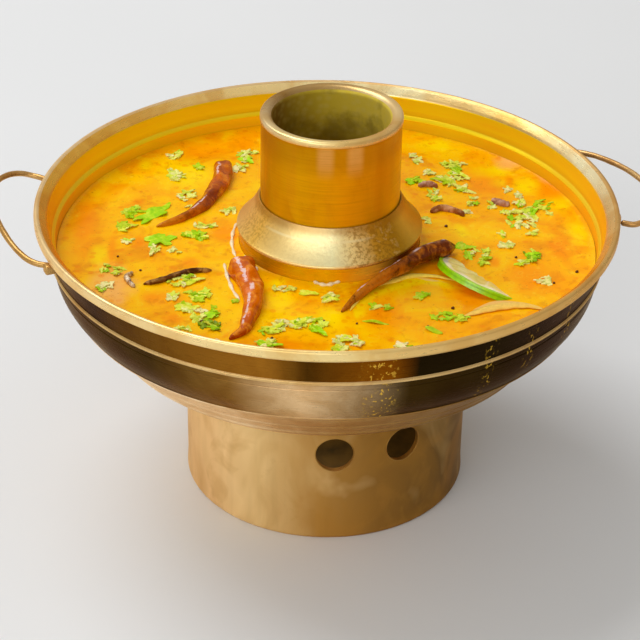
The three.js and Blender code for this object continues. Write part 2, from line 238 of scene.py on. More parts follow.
def rod(route, radius_at, sides, steps, relief=None):
    """A closed rod along a route in millimetres; relief(along, angle) changes its radius."""
    path = smooth_route([Vector(point) * MM for point in route], steps)
    piece = added("grid", x_subdivisions=sides, y_subdivisions=steps, size=2)
    for name, value_at in (
        ("along", lambda co: (co.y + 1) / 2), ("flank", lambda co: -math.sin(math.pi * co.x)),
        ("crown", lambda co: -math.cos(math.pi * co.x)),
    ):
        spread = piece.data.attributes.new(name, "FLOAT", "POINT")
        for vertex, share in zip(piece.data.vertices, spread.data):
            share.value = value_at(vertex.co)
    across = Vector((0, 0, 1))
    frames = []
    for i, point in enumerate(path):
        ahead = (path[min(i + 1, steps)] - path[max(i - 1, 0)]).normalized()
        across = (across - ahead * across.dot(ahead)).normalized()
        frames.append((point, across.copy(), ahead.cross(across)))
    for vertex in piece.data.vertices:
        along = (vertex.co.y + 1) / 2
        angle = math.pi * (vertex.co.x + 1)
        point, up, side = frames[round(along * steps)]
        radius = radius_at(along) * MM
        if relief:
            radius *= relief(along, angle)
        vertex.co = point + up * (radius * math.cos(angle)) + side * (radius * math.sin(angle))
    weld(piece)
    edit(piece)
    bpy.ops.mesh.fill_holes(sides=0)
    done()
    return piece


# ---- Materials ----
def blank(name):
    material = bpy.data.materials.new(name)
    material.use_nodes = True
    tree = material.node_tree
    return material, tree, tree.nodes["Principled BSDF"]


def feed(tree, node, inputs):
    """Gives a node's inputs their values, or links to the sockets that feed them."""
    for key, value in inputs.items():
        if isinstance(value, bpy.types.NodeSocket):
            tree.links.new(value, node.inputs[key])
        else:
            node.inputs[key].default_value = value


def put(tree, kind, inputs=None, **settings):
    """Adds a node; inputs maps socket names or numbers to values or to other sockets."""
    made = tree.nodes.new("ShaderNode" + kind)
    for key, value in settings.items():
        setattr(made, key, value)
    feed(tree, made, inputs or {})
    return made


def linear(red, green, blue):
    """A colour given 0 to 255, as Blender's linear values."""
    return tuple(
        (c / 255 / 12.92) if c <= 10 else ((c / 255 + 0.055) / 1.055) ** 2.4 for c in (red, green, blue)
    )


def stepped(tree, source, stops):
    """A ramp through linear colours."""
    made = put(tree, "ValToRGB", {0: source})
    elements = made.color_ramp.elements
    while len(elements) < len(stops):
        elements.new(0.5)
    for element, (place, colour) in zip(elements, stops):
        element.position = place
        element.color = (*colour, 1)
    return made.outputs[0]


def ramp(tree, source, stops):
    """A ramp through picked colours."""
    return stepped(tree, source, [(place, linear(*picked)) for place, picked in stops])


def shade(tree, source, low, first, high, last):
    """A share that goes from first, where source is low, to last, where it is high."""
    return stepped(tree, source, [(low, (first,) * 3), (high, (last,) * 3)])


def mix(tree, share, first, second, mode="MIX"):
    """Mixes two colours, each a socket or a picked colour."""
    made = put(tree, "Mix", {0: share}, data_type="RGBA", blend_type=mode)
    for socket, value in ((6, first), (7, second)):
        feed(tree, made, {socket: (*linear(*value), 1) if isinstance(value, tuple) else value})
    return made.outputs[2]


def sums(tree, operation, first, second=0.0, third=0.0):
    return put(tree, "Math", {0: first, 1: second, 2: third}, operation=operation).outputs[0]


def times(tree, first, second):
    return sums(tree, "MULTIPLY", first, second)


def scaled_place(tree, scale=(1, 1, 1), turn=(0, 0, 0), place=(0, 0, 0)):
    source = put(tree, "TexCoord").outputs["Object"]
    return put(tree, "Mapping", {0: source, "Location": place, "Rotation": turn, "Scale": scale}).outputs[0]


def grain(tree, vector, scale, detail=4.0, rough=0.55, warp=0.0):
    inputs = {"Vector": vector, "Scale": scale, "Detail": detail, "Roughness": rough, "Distortion": warp}
    return put(tree, "TexNoise", inputs).outputs[0]


def band(tree, value, low, high):
    """0 below low and 1 above high, with a soft step between."""
    reach = {0: value, 1: low, 2: high, 3: 0.0, 4: 1.0}
    return put(tree, "MapRange", reach, interpolation_type="SMOOTHSTEP").outputs[0]


def window(tree, value, low, high, soft):
    rise = band(tree, value, low - soft, low + soft)
    fall = band(tree, value, high - soft, high + soft)
    return sums(tree, "SUBTRACT", rise, fall)


def around(tree):
    """Angle about the pot's axis in degrees, and height in metres."""
    x, y, z = put(tree, "SeparateXYZ", {0: put(tree, "TexCoord").outputs["Object"]}).outputs
    return times(tree, sums(tree, "ARCTAN2", y, x), 180 / math.pi), z


def bump(tree, height, strength, distance, below=None):
    inputs = {"Strength": strength, "Distance": distance, "Height": height}
    if below is not None:
        inputs["Normal"] = below
    return put(tree, "Bump", inputs).outputs[0]


def circle_ramp(tree, angle, stops):
    """Colours by the angle about the pot's axis, in degrees."""
    turn = put(tree, "MapRange", {0: angle, 1: -180.0, 2: 180.0, 3: 0.0, 4: 1.0}).outputs[0]
    return ramp(tree, turn, [((place + 180) / 360, picked) for place, picked in stops])


def brass(name, stops, dull, bright, roughness, metal=0.5, streaks=(1, 1, 1), streak_scale=60, pits=0.0,
          shine=0.5):
    """Worn brass: colours round the pot, which carry painted light and shade, stretched streaks, cloudy
    polish, fine pits.
    """
    material, tree, shader = blank(name)
    angle, _ = around(tree)
    colour = circle_ramp(tree, angle, stops)
    cloud = grain(tree, scaled_place(tree), 38, 5, 0.6, 0.6)
    streak = grain(tree, scaled_place(tree, streaks), streak_scale, 6, 0.65)
    patch = shade(tree, cloud, 0.42, 0, 0.62, 0.6)
    line = shade(tree, streak, 0.5, 0, 0.72, 0.5)
    colour = mix(tree, patch, colour, dull, "MULTIPLY")
    colour = mix(tree, line, colour, bright, "SCREEN")
    rough = put(tree, "MapRange", {0: streak, 1: 0.3, 2: 0.7, 3: roughness - 0.07, 4: roughness + 0.1})
    relief = bump(tree, streak, 0.25, 0.0004)
    if pits:
        dots = put(tree, "TexVoronoi", {"Vector": scaled_place(tree), "Scale": 900.0})
        relief = bump(tree, band(tree, dots.outputs[0], 0.1, 0.5), pits, 0.0006, relief)
    feed(tree, shader, {
        "Base Color": colour, "Metallic": metal, "Specular IOR Level": shine, "Specular Tint": WARM,
        "Roughness": rough.outputs[0], "Normal": relief,
    })
    return material


def band_brass(name, stops):
    """Dark polished band with streaks along it and painted glints: gold specks at a few fixed angles in
    front.
    """
    material = brass(name, stops, (205, 180, 130), (22, 14, 3), 0.3, metal=0.35, streaks=(0.6, 0.6, 9),
                     streak_scale=90, pits=0.15, shine=0.03)
    tree = material.node_tree
    shader = tree.nodes["Principled BSDF"]
    angle, _ = around(tree)
    # Painted glints: gold specks kept to narrow windows at a few fixed angles on the front of the band.
    where = window(tree, angle, -86, -80.5, 2)
    for place in (-60.5, -50, -37):
        where = sums(tree, "ADD", where, times(tree, window(tree, angle, place - 1, place + 1, 1), 0.75))
    speck = grain(tree, scaled_place(tree, (1, 1, 0.6)), 640, 3, 0.6)
    painted_glints = times(tree, band(tree, speck, 0.58, 0.64), times(tree, where, 0.8))
    under = shader.inputs["Base Color"].links[0].from_socket
    tree.links.new(mix(tree, painted_glints, under, (240, 190, 66)), shader.inputs["Base Color"])
    return material


# Colours round the pot: angle in degrees, 0 at the right and -90 at the front, and a picked colour.
# They hold painted light and shade as well as the brass's own tone: sides that face the light are lighter,
# sides turned away are darker, and the narrow bright stops are painted highlights and reflections.
LIP_STOPS = [
    (-180, (245, 210, 155)), (-90, (252, 225, 155)), (-55, (225, 178, 100)), (0, (215, 172, 108)),
    (90, (225, 190, 135)), (150, (248, 218, 168)), (180, (245, 210, 155)),
]
# The lip's inner slope: painted light, pale cream on the right and at the back where it faces the light,
# gold-brown on the left where it faces away.
SLOPE_STOPS = [
    (-180, (235, 172, 60)), (-120, (182, 115, 20)), (-30, (226, 166, 54)), (15, (255, 245, 200)),
    (42, (222, 185, 100)), (70, (255, 242, 190)), (140, (250, 202, 95)), (180, (235, 172, 60)),
]
UPPER_STOPS = [
    (-180, (110, 78, 28)), (-145, (42, 28, 8)), (-105, (158, 104, 30)), (-97, (84, 54, 10)),
    (-82, (148, 84, 6)), (-76, (30, 21, 5)), (-30, (34, 25, 8)), (90, (140, 102, 44)), (180, (110, 78, 28)),
]
LOWER_STOPS = [
    (-180, (84, 60, 24)), (-130, (60, 42, 12)), (-112, (140, 100, 44)), (-98, (238, 200, 148)),
    (-78, (60, 42, 12)), (-40, (26, 19, 6)), (90, (130, 96, 44)), (180, (84, 60, 24)),
]
FOOT_STOPS = [
    (-180, (230, 205, 165)), (-150, (250, 232, 205)), (-118, (250, 220, 175)), (-90, (195, 152, 90)),
    (-60, (142, 110, 62)), (0, (130, 98, 58)), (90, (176, 142, 88)), (180, (230, 205, 165)),
]
HANDLE_STOPS = [
    (-180, (206, 166, 104)), (-165, (190, 148, 86)), (0, (222, 182, 122)), (20, (206, 166, 110)),
    (180, (206, 166, 104)),
]
BEAD_STOPS = [(-180, (206, 170, 110)), (-90, (226, 190, 128)), (0, (150, 112, 60)), (180, (206, 170, 110))]
INNER_STOPS = [
    (-180, (255, 208, 10)), (-110, (238, 184, 6)), (-10, (255, 208, 40)), (60, (255, 236, 26)),
    (150, (255, 226, 10)), (180, (255, 208, 10)),
]
# The base: painted light and shade, lighter on the left where the light falls and darker towards the right.
BASE_STOPS = [
    (-180, (240, 205, 155)), (-145, (246, 204, 145)), (-120, (255, 222, 158)), (-95, (196, 146, 74)),
    (-70, (154, 110, 50)), (-30, (110, 82, 40)), (90, (190, 146, 80)), (180, (240, 205, 155)),
]
VENT_EDGE_STOPS = [(-180, (176, 132, 66)), (180, (176, 132, 66))]
CHIMNEY_STOPS = [
    (-180, (225, 182, 25)), (-160, (192, 132, 4)), (-120, (230, 182, 8)), (-82, (234, 170, 8)),
    (-48, (206, 142, 6)), (-10, (240, 198, 12)), (90, (205, 155, 30)), (180, (225, 182, 25)),
]
CHIMNEY_LIP_STOPS = [
    (-180, (215, 190, 150)), (-110, (252, 230, 165)), (-50, (228, 190, 125)), (30, (235, 208, 155)),
    (135, (155, 116, 60)), (180, (215, 190, 150)),
]
FIRE_TUBE_STOPS = [
    (-180, (226, 170, 12)), (-135, (198, 144, 6)), (-85, (252, 196, 6)), (-60, (255, 208, 70)),
    (-44, (150, 78, 8)), (180, (226, 170, 12)),
]
FLUE_STOPS = [
    (-180, (130, 96, 26)), (0, (230, 206, 80)), (90, (196, 172, 52)), (150, (124, 92, 24)),
    (180, (130, 96, 26)),
]
# The collar: the pale stops at -90 and -76 are a painted highlight down its front.
COLLAR_STOPS = [
    (-180, (236, 198, 125)), (-150, (240, 192, 88)), (-90, (255, 248, 192)), (-76, (255, 225, 150)),
    (-60, (208, 152, 42)), (-42, (178, 128, 10)), (-25, (226, 175, 58)), (0, (190, 138, 14)),
    (90, (216, 176, 90)), (180, (236, 198, 125)),
]


# ---- Brass pieces ----
def hole_shift(place):
    """The hole in the middle lies a little to the right, like the chimney over it."""
    far = math.hypot(place.x, place.y) / MM
    return CHIMNEY_OFFSET * MM * clamp((74 - far) / 28)


def bowl_shell():
    rim = RIM
    lip = [
        (134.9, rim - 3.7, 0.8), (138.4, rim - 0.5, 1.6), (139.6, rim, 0.6), (140.8, rim - 0.7, 0.8),
        (140.8, rim - 4.4, 0.8), (140.0, rim - 5.4, 0.4),
    ]
    bands = [
        (135.3, rim - 6, 0.6), (134.7, rim - 12, 4), (133.6, rim - 19.3, 0.4), (134.3, rim - 19.9, 0.35),
        (134.3, rim - 21.3, 0.35), (133.1, rim - 21.9, 0.4), (132.9, rim - 24.1, 0.2),
        (132.4, rim - 24.6, 0.2), (132.7, rim - 25.1, 0.3), (131.7, rim - 32, 6), (128.8, rim - 38.6, 5),
        (124.9, rim - 43.6, 0.8), (124.5, rim - 44.3, 0.3), (124.7, rim - 44.9, 0.3),
        (123.4, rim - 45.6, 0.3),
    ]
    foot = [
        (121.3, rim - 47.5, 0.3), (120.4, rim - 47.7, 0.2), (120, rim - 48.7, 0.4), (112.8, rim - 56.6, 1),
        (112.1, rim - 56.9, 0.2), (111.7, rim - 57.9, 0.4), (107.3, rim - 63, 0.5), (106.8, rim - 64.6, 0.6),
        (105.6, rim - 65.6, 0.6), (104.2, rim - 66.9, 0.6), (75.4, rim - 70, 0.5), (44.3, rim - 70, 0.2),
    ]
    inside = [
        (44.3, rim - 64, 0.2), (92, rim - 64, 0), (113, rim - 60, FULL), (126.2, rim - 34, 0),
        (130.7, rim - 22, 2), (131.3, rim - 16.2, 0.4), (131.1, rim - 15.6, 0.3), (132.8, rim - 14, 0.5),
        (134.2, rim - 5, 0.5),
    ]
    outline = rounded(lip + bands + foot + inside)
    piece = spun(spaced(outline, 3.2), 256)

    def beaten(place, normal):
        wave = noise.noise(Vector((place.x * 22, place.y * 22, place.z * 30)))
        moved = place + normal * (0.00018 * wave)
        moved.x += hole_shift(place)
        return moved

    move_points(piece, beaten)
    wear(
        piece,
        brass("lip_brass", LIP_STOPS, (236, 212, 170), (20, 14, 4), 0.3, streaks=(1, 1, 6), streak_scale=70),
        band_brass("upper_band_brass", UPPER_STOPS),
        band_brass("lower_band_brass", LOWER_STOPS),
        brass("foot_band_brass", FOOT_STOPS, (214, 186, 140), (34, 26, 12), 0.32, streaks=(0.6, 0.6, 8),
              streak_scale=80, pits=0.2),
        inner_wall_brass(),
        brass("lip_slope_brass", SLOPE_STOPS, (226, 196, 150), (24, 16, 4), 0.26, streaks=(1, 1, 6),
              streak_scale=70),
        brass("bead_brass", BEAD_STOPS, (220, 190, 150), (20, 14, 4), 0.28),
    )
    on_lip, upper_band, lower_band, foot_band, inner_wall, lip_slope, bead = range(7)
    for face in piece.data.polygons:
        middle = face.center
        far = math.hypot(middle.x, middle.y) / MM
        height = middle.z / MM - rim
        inward = face.normal.dot(Vector((middle.x, middle.y, 0))) < 0
        if height > -5.9 and far > 138.1:
            face.material_index = on_lip
        elif height > -4.6 and far > 134.2:
            face.material_index = lip_slope
        elif inward and height > -66 or height > -5.6:
            face.material_index = inner_wall
        elif height > -19.4:
            face.material_index = upper_band
        elif height > -20.9:
            face.material_index = bead
        elif height > -44.4:
            face.material_index = lower_band
        else:
            face.material_index = foot_band
    smooth(piece, 35)
    return settle(piece, "bowl_shell", ["bowl"])


def inner_wall_brass():
    material, tree, shader = blank("inner_wall_brass")
    angle, height = around(tree)
    # The strong yellow of the inner wall is partly the brass's own colour and partly a painted reflection of
    # the soup.
    colour = circle_ramp(tree, angle, INNER_STOPS)
    # Painted light in height bands: a bright stripe at the groove step, a darker one just above it, and
    # painted shade darkening the wall towards the soup.
    rings = ramp(tree, band(tree, height, (RIM - 22) * MM, (RIM - 5) * MM), [
        (0.0, (206, 126, 0)), (0.2, (232, 158, 2)), (0.36, (250, 196, 14)),
        (0.44, (255, 224, 60)), (0.5, (206, 140, 2)), (0.72, (244, 194, 6)), (1.0, (240, 180, 6)),
    ])
    streak = grain(tree, scaled_place(tree, (0.5, 0.5, 7)), 60, 5)
    colour = mix(tree, 0.45, colour, rings)
    line = shade(tree, streak, 0.45, 0, 0.7, 0.35)
    colour = mix(tree, line, colour, (250, 190, 30))
    feed(tree, shader, {
        "Base Color": colour, "Metallic": 0.35, "Specular Tint": (1, 0.5, 0.04, 1), "Roughness": 0.3,
        "Normal": bump(tree, streak, 0.3, 0.0003),
    })
    return material


def fire_tube_sleeve():
    outline = rounded([
        (FIRE_TUBE_BORE, UNDERSIDE, 0.2), (FIRE_TUBE, UNDERSIDE, 0.2), (FIRE_TUBE, COLLAR_FOOT - 0.3, 0.4),
        (FIRE_TUBE_BORE, COLLAR_FOOT - 0.3, 0.4),
    ])
    piece = spun(spaced(outline, 4), 192, CHIMNEY_OFFSET)
    wear(piece, brass("fire_tube_brass", FIRE_TUBE_STOPS, (232, 190, 110), (20, 10, 0), 0.24, metal=0.3,
                      streaks=(0.5, 0.5, 6), shine=0.2))
    smooth(piece, 35)
    return settle(piece, "fire_tube_sleeve", ["fire_tube"])


def base_drum():
    outline = rounded([
        (67.8, 0, 0.3), (69.4, 0, 0.5), (70.5, 1.4, 0.6), (70.1, 8, 2), (70.2, 40, 6), (71.1, 80, 0.3),
        (68.5, 80, 0.3), (67.8, 40, 4),
    ])
    piece = spun(spaced(outline, 4), 240, BASE_OFFSET)
    drills = []
    for degrees in VENTS.values():
        turn = math.radians(degrees)
        spot = (BASE_RADIUS * math.cos(turn) + BASE_OFFSET, BASE_RADIUS * math.sin(turn), VENT_HEIGHT)
        drills.append(added(
            "cylinder", vertices=72, radius=VENT_RADIUS * MM, depth=20 * MM, location=[c * MM for c in spot],
            rotation=(0, math.pi / 2, turn),
        ))
    for drill in drills:
        cut = piece.modifiers.new("vent", "BOOLEAN")
        cut.operation = "DIFFERENCE"
        cut.solver = "EXACT"
        cut.object = drill
    apply_modifiers(piece)
    for drill in drills:
        bpy.data.objects.remove(drill)
    wear(piece, base_brass(), dark_inside("base_inside_brass", (236, 196, 96)))
    for face in piece.data.polygons:
        middle = face.center - Vector((BASE_OFFSET * MM, 0, 0))
        if math.hypot(middle.x, middle.y) < 68.7 * MM and middle.z > 0.001:
            face.material_index = 1
    smooth(piece, 30)
    return settle(piece, "base_drum", ["base"])


def base_brass():
    material, tree, shader = blank("base_brass")
    angle, height = around(tree)
    colour = circle_ramp(tree, angle, BASE_STOPS)
    cloud = grain(tree, scaled_place(tree, (1, 1, 0.7), (0.2, 0.5, 0)), 26, 3, 0.5, 0.9)
    patch = grain(tree, scaled_place(tree, (1, 1, 0.8), (0.5, 0, 0.3)), 52, 4, 0.55, 0.5)
    lines = grain(tree, scaled_place(tree, (1, 1, 0.12)), 170, 4)
    colour = mix(tree, shade(tree, cloud, 0.5, 0, 0.66, 0.5), colour, (238, 200, 136))
    colour = mix(tree, shade(tree, cloud, 0.34, 0.35, 0.5, 0), colour, (190, 134, 50))
    colour = mix(tree, shade(tree, patch, 0.36, 0.3, 0.48, 0), colour, (190, 136, 60))
    # Painted shade: the base turns darker towards its top, under the bowl.
    painted_shade_under_bowl = band(tree, height, 48 * MM, 82 * MM)
    colour = mix(tree, times(tree, painted_shade_under_bowl, 0.5), colour, (150, 98, 14))
    colour = mix(tree, shade(tree, lines, 0.45, 0, 0.75, 0.14), colour, (150, 104, 40))
    feed(tree, shader, {
        "Base Color": colour, "Metallic": 0.5, "Specular Tint": WARM, "Roughness": 0.38,
        "Normal": bump(tree, patch, 0.08, 0.001),
    })
    return material


def dark_inside(name, colour):
    material, tree, shader = blank(name)
    soot = grain(tree, scaled_place(tree), 60, 5)
    stops = [(0.3, tuple(c * 0.45 for c in colour)), (0.65, colour)]
    feed(tree, shader, {
        "Base Color": ramp(tree, soot, stops), "Metallic": 0.3, "Roughness": 0.6,
        "Normal": bump(tree, soot, 0.4, 0.0008),
    })
    return material


def vent_rims():
    """A thin turned-in edge round each vent."""
    for name, degrees in VENTS.items():
        turn = math.radians(degrees)
        piece = added(
            "torus", major_radius=VENT_RADIUS * MM, minor_radius=0.3 * MM, major_segments=72,
            minor_segments=10, rotation=(0, math.pi / 2, 0),
        )
        alone(piece)
        bpy.ops.object.transform_apply(location=False, rotation=True, scale=False)

        def wrapped(place, normal):
            here = turn + place.y / (70.3 * MM)
            radius = 70.35 * MM + place.x
            x = BASE_OFFSET * MM + radius * math.cos(here)
            return Vector((x, radius * math.sin(here), VENT_HEIGHT * MM + place.z))

        move_points(piece, wrapped)
        wear(piece, brass("vent_edge_brass", VENT_EDGE_STOPS, (190, 150, 90), (20, 14, 4), 0.34))
        smooth(piece, 60)
        settle(piece, "vent_rim_" + name)


def ash_plate():
    piece = added(
        "cylinder", vertices=144, radius=67.4 * MM, depth=3 * MM, location=(BASE_OFFSET * MM, 0, 1.5 * MM)
    )
    edit(piece)
    bpy.ops.mesh.bevel(offset=0.4 * MM, segments=2)
    done()
    wear(piece, dark_inside("ash_plate_brass", (110, 84, 36)))
    smooth(piece, 35)
    return settle(piece, "ash_plate", ["ash_floor"])


def collar_ring():
    foot, ledge = COLLAR_FOOT, CHIMNEY_FOOT - 0.3
    flare = [Vector((45 - 10.4 * t - 0.6 * math.sin(math.pi * t), foot + 2 + 14.6 * t**1.12)) for t in
             (k / 24 for k in range(25))]
    outline = rounded([
        (34, ledge, 0.2), (CHIMNEY_BORE, ledge, 0.2), (CHIMNEY_BORE, ledge - 4, 0.4),
        (FIRE_TUBE_BORE, foot, 0.3), (44.4, foot, 0.6),
        (45, foot + 1.2, 0.5),
    ]) + flare + [Vector((34, foot + 16.6))]
    piece = spun(spaced(outline, 0.9), 300, CHIMNEY_OFFSET)
    wear(piece, collar_brass())
    smooth(piece, 50)
    return settle(piece, "cast_collar", ["collar"])


def collar_brass():
    material, tree, shader = blank("collar_brass")
    angle, height = around(tree)
    colour = circle_ramp(tree, angle, COLLAR_STOPS)
    rough_grain = grain(tree, scaled_place(tree), 620, 4, 0.6)
    coarse = grain(tree, scaled_place(tree), 260, 4, 0.6)
    right = window(tree, angle, -80, -40, 8)
    left = window(tree, angle, -176, -142, 8)
    where = sums(tree, "ADD", right, times(tree, left, 0.5))
    where = sums(tree, "ADD", where, 0.12)
    specks = shade(tree, rough_grain, 0.43, 1, 0.53, 0)
    colour = mix(tree, times(tree, where, times(tree, specks, 0.55)), colour, (150, 102, 22))
    glints = times(tree, band(tree, coarse, 0.56, 0.62), times(tree, right, 0.3))
    colour = mix(tree, glints, colour, (238, 204, 130))
    dark_top = band(tree, height, (RIM - 2) * MM, (RIM + 1.5) * MM)
    colour = mix(tree, times(tree, dark_top, 0.55), colour, (168, 108, 14))
    # Painted highlight: a pale line round the collar's slope, on the front and left only.
    edge = window(tree, height, (RIM - 3.4) * MM, (RIM - 2.4) * MM, 0.4 * MM)
    edge = times(tree, edge, window(tree, angle, -140, -66, 12))
    colour = mix(tree, times(tree, edge, 0.7), colour, (255, 236, 178))
    rough = put(tree, "MapRange", {0: where, 1: 0.0, 2: 1.0, 3: 0.32, 4: 0.46})
    feed(tree, shader, {
        "Base Color": colour, "Metallic": 0.5, "Specular Tint": WARM, "Roughness": rough.outputs[0],
        "Normal": bump(tree, rough_grain, 0.25, 0.0005),
    })
    return material


def chimney_pipe():
    foot, top = CHIMNEY_FOOT, CHIMNEY_TOP
    outline = rounded([
        (CHIMNEY_BORE, foot, 0.3), (CHIMNEY_RADIUS, foot, 0.3), (CHIMNEY_RADIUS, top - 3.4, 1),
        (34.1, top - 2.8, 0.4), (34.05, top - 1, 1.2), (33.3, top, 1.1), (30.2, top, 1.4),
        (CHIMNEY_BORE, top - 2.2, 1),
    ])
    piece = spun(spaced(outline, 1.6), 224, CHIMNEY_OFFSET)

    def worn(place, normal):
        far = math.hypot(place.x - CHIMNEY_OFFSET * MM, place.y)
        if far < 31 * MM:
            return place
        wave = noise.noise(Vector((place.x * 60, place.y * 60, place.z * 18)))
        return place + normal * (0.00012 * wave)

    move_points(piece, worn)
    lip_look = brass("chimney_lip_brass", CHIMNEY_LIP_STOPS, (236, 212, 160), (20, 14, 4), 0.28,
                     streaks=(0.5, 0.5, 4), streak_scale=80)
    wear(piece, chimney_brass(), lip_look, flue_brass())
    for face in piece.data.polygons:
        far = math.hypot(face.center.x - CHIMNEY_OFFSET * MM, face.center.y) / MM
        height = face.center.z / MM
        if height > top - 2.9 and far > 28.6:
            face.material_index = 1
        elif far < 28.7:
            face.material_index = 2
    smooth(piece, 40)
    return settle(piece, "chimney_pipe", ["chimney"])


def chimney_brass():
    material, tree, shader = blank("chimney_brass")
    angle, height = around(tree)
    colour = circle_ramp(tree, angle, CHIMNEY_STOPS)
    lengthwise = grain(tree, scaled_place(tree, (1, 1, 0.1)), 130, 5, 0.6)
    rings = grain(tree, scaled_place(tree, (0.35, 0.35, 12)), 110, 5, 0.6)
    blotch = grain(tree, scaled_place(tree, (1, 1, 0.5)), 70, 4, 0.6, 0.8)
    line = shade(tree, lengthwise, 0.5, 0, 0.62, 0.45)
    colour = mix(tree, line, colour, (226, 164, 24))
    patch = shade(tree, blotch, 0.5, 0, 0.64, 0.4)
    colour = mix(tree, patch, colour, (206, 134, 2))
    upper = band(tree, height, 176 * MM, 188 * MM)
    # Painted highlights: pale columns at two fixed angles in front, near the top of the pipe.
    pale = sums(tree, "ADD", window(tree, angle, -102, -90, 3), window(tree, angle, -78, -66, 3))
    colour = mix(tree, times(tree, upper, 0.35), colour, (150, 88, 4))
    colour = mix(tree, times(tree, times(tree, pale, upper), 0.75), colour, (232, 182, 104))
    fine = shade(tree, rings, 0.45, 0, 0.7, 0.35)
    colour = mix(tree, fine, colour, (184, 128, 0))
    relief = bump(tree, rings, 0.35, 0.0003)
    feed(tree, shader, {
        "Base Color": colour, "Metallic": 0.4, "Specular Tint": WARM, "Roughness": 0.28,
        "Normal": bump(tree, lengthwise, 0.12, 0.0004, relief),
    })
    return material


def flue_brass():
    material, tree, shader = blank("flue_brass")
    angle, height = around(tree)
    colour = circle_ramp(tree, angle, FLUE_STOPS)
    # Painted shade: the bore turns darker and more olive deeper down, from about 184 mm to 160 mm.
    low = band(tree, height, 160 * MM, 184 * MM)
    colour = mix(tree, low, (120, 98, 20), colour)
    place = scaled_place(tree, (1, 1, 1.2))
    cells = put(tree, "TexVoronoi", {"Vector": place, "Scale": 260.0, "Randomness": 0.8})
    soft = times(tree, band(tree, cells.outputs[0], 0.7, 0.1), 0.22)
    colour = mix(tree, soft, colour, (206, 190, 110))
    soot = grain(tree, scaled_place(tree), 60, 5)
    colour = mix(tree, shade(tree, soot, 0.36, 0.5, 0.5, 0), colour, (96, 76, 10))
    feed(tree, shader, {
        "Base Color": colour, "Metallic": 0.3, "Specular Tint": WARM, "Roughness": 0.5,
        "Normal": bump(tree, soft, 0.2, 0.0005),
    })
    return material


HANDLE_ROUTE = [
    (130.6, -38.5), (135.5, -46), (141.5, -50), (148, -49.5), (154, -44.5), (158.2, -36), (159.8, -24),
    (159.2, -11), (157.2, 2), (153.6, 14.5), (149, 26), (143.5, 35), (138, 40), (130, 43),
]
HANDLES = {"handle_right": (12.2, -0.4, 0.93), "handle_left": (182.3, 0.9, 1.0)}


def wire_radius(along):
    """The same all along, and rounded off at both ends."""
    return 1.42 * min(1, math.sqrt(max(0, along)) * 9 + 0.05, math.sqrt(max(0, 1 - along)) * 9 + 0.05)


def handle_wires():
    material = brass("handle_brass", HANDLE_STOPS, (210, 170, 110), (40, 30, 12), 0.26, metal=0.55,
                     streak_scale=150)
    for name, (degrees, reach, spread) in HANDLES.items():
        turn = Matrix.Rotation(math.radians(degrees), 3, "Z")
        route = []
        for out, side in HANDLE_ROUTE:
            climb = 0.25 * max(0, out - 140.8)
            route.append(turn @ Vector((out + reach, side * spread, HANDLE_LIFT + climb)))
        trimmed = [point for point in route if math.hypot(point.x, point.y) > 135.9]
        piece = rod(
            trimmed, wire_radius, 20, 160,
            lambda along, angle: 1 + 0.03 * math.sin(37 * along) + 0.015 * math.sin(91 * along + angle),
        )
        parts = [piece]
        for foot in (route[0], route[-1]):
            bearing = math.atan2(foot.y, foot.x)
            spot = (LUG_DISTANCE * math.cos(bearing), LUG_DISTANCE * math.sin(bearing), HANDLE_LIFT - 0.8)
            lug = added(
                "cube", size=1, location=[c * MM for c in spot], rotation=(0, 0, bearing),
                scale=(7 * MM, 5 * MM, 4.6 * MM),
            )
            bpy.ops.object.transform_apply(location=True, rotation=True, scale=True)
            edit(lug)
            bpy.ops.mesh.bevel(offset=1.1 * MM, segments=4)
            done()
            parts.append(lug)
        join_parts(parts)
        wear(piece, material)
        smooth(piece, 45)
        settle(piece, name.replace("handle", "wire_handle"), [name])


# ---- Garnish: where it lies, as in the part ----
# A chilli is its route, with each point's lift, and its thickest radius.
# A slice is x, y, radius, thickness, the bearing of its raised edge, its tilt and that edge's height.
# A leaf is x, y, length, width, turn and lobes, with none for a strip of stem.
FLOATING = SOUP_LEVEL + 1
CHILLIES = {
    "chilli_back": ([
        (-48.3, 80.5, 1.5), (-49.1, 68, 1.5), (-51.3, 55.8, 1.2), (-55.5, 43.8, 1), (-60.5, 33.5, 0.6),
        (-67, 25.2, 0.3), (-75, 18.5, 0.2), (-83, 14.4, 0)], 4.8),
    "chilli_front": ([
        (-43.9, -25.4, 1.5), (-40, -40.6, 1.8), (-37.7, -54.1, 1.6), (-37.8, -66.1, 1.2),
        (-40.2, -77.7, 0.8), (-43, -87, 0.4), (-49.5, -93.6, 0)], 6.2),
    "chilli_leaning": ([
        (61.3, -15.4, 3), (53.6, -20.4, 4), (46.2, -25.5, 5), (39.4, -31.8, 5.4), (32.4, -38.8, 5.2),
        (26.4, -44, 4.6), (20.3, -49, 3.4), (14.3, -54.5, 2), (9.1, -61.1, 1), (5.5, -66.6, 0.4),
        (2.4, -71.2, 0)], 4.2),
    "chilli_left": ([
        (-88.6, -42.6, 0), (-82, -40.3, 0.2), (-76, -37.1, 0.3), (-66.6, -31.6, 0.3), (-56.1, -30, 0)], 1.5),
    "chilli_curl": ([
        (53.4, 25.7, 0), (58.7, 28.8, 0.4), (63.6, 27.6, 0.4), (68.3, 24.2, 0.2), (69.9, 21, 0)], 1.7),
    "chilli_scrap_back": ([(50.1, 54.2, 0), (55.4, 55.6, 0.3), (60.2, 52.8, 0)], 1.7),
    "chilli_scrap_right": ([(86.1, 37.8, 0), (88.8, 34.6, 0.3), (94.4, 32.1, 0)], 1.8),
    "chilli_stalk": ([(-92.4, -45.3, 0), (-95, -40.6, 0.4), (-96.4, -35.8, 0.5), (-93.4, -31.6, 0.2)], 1.3),
}
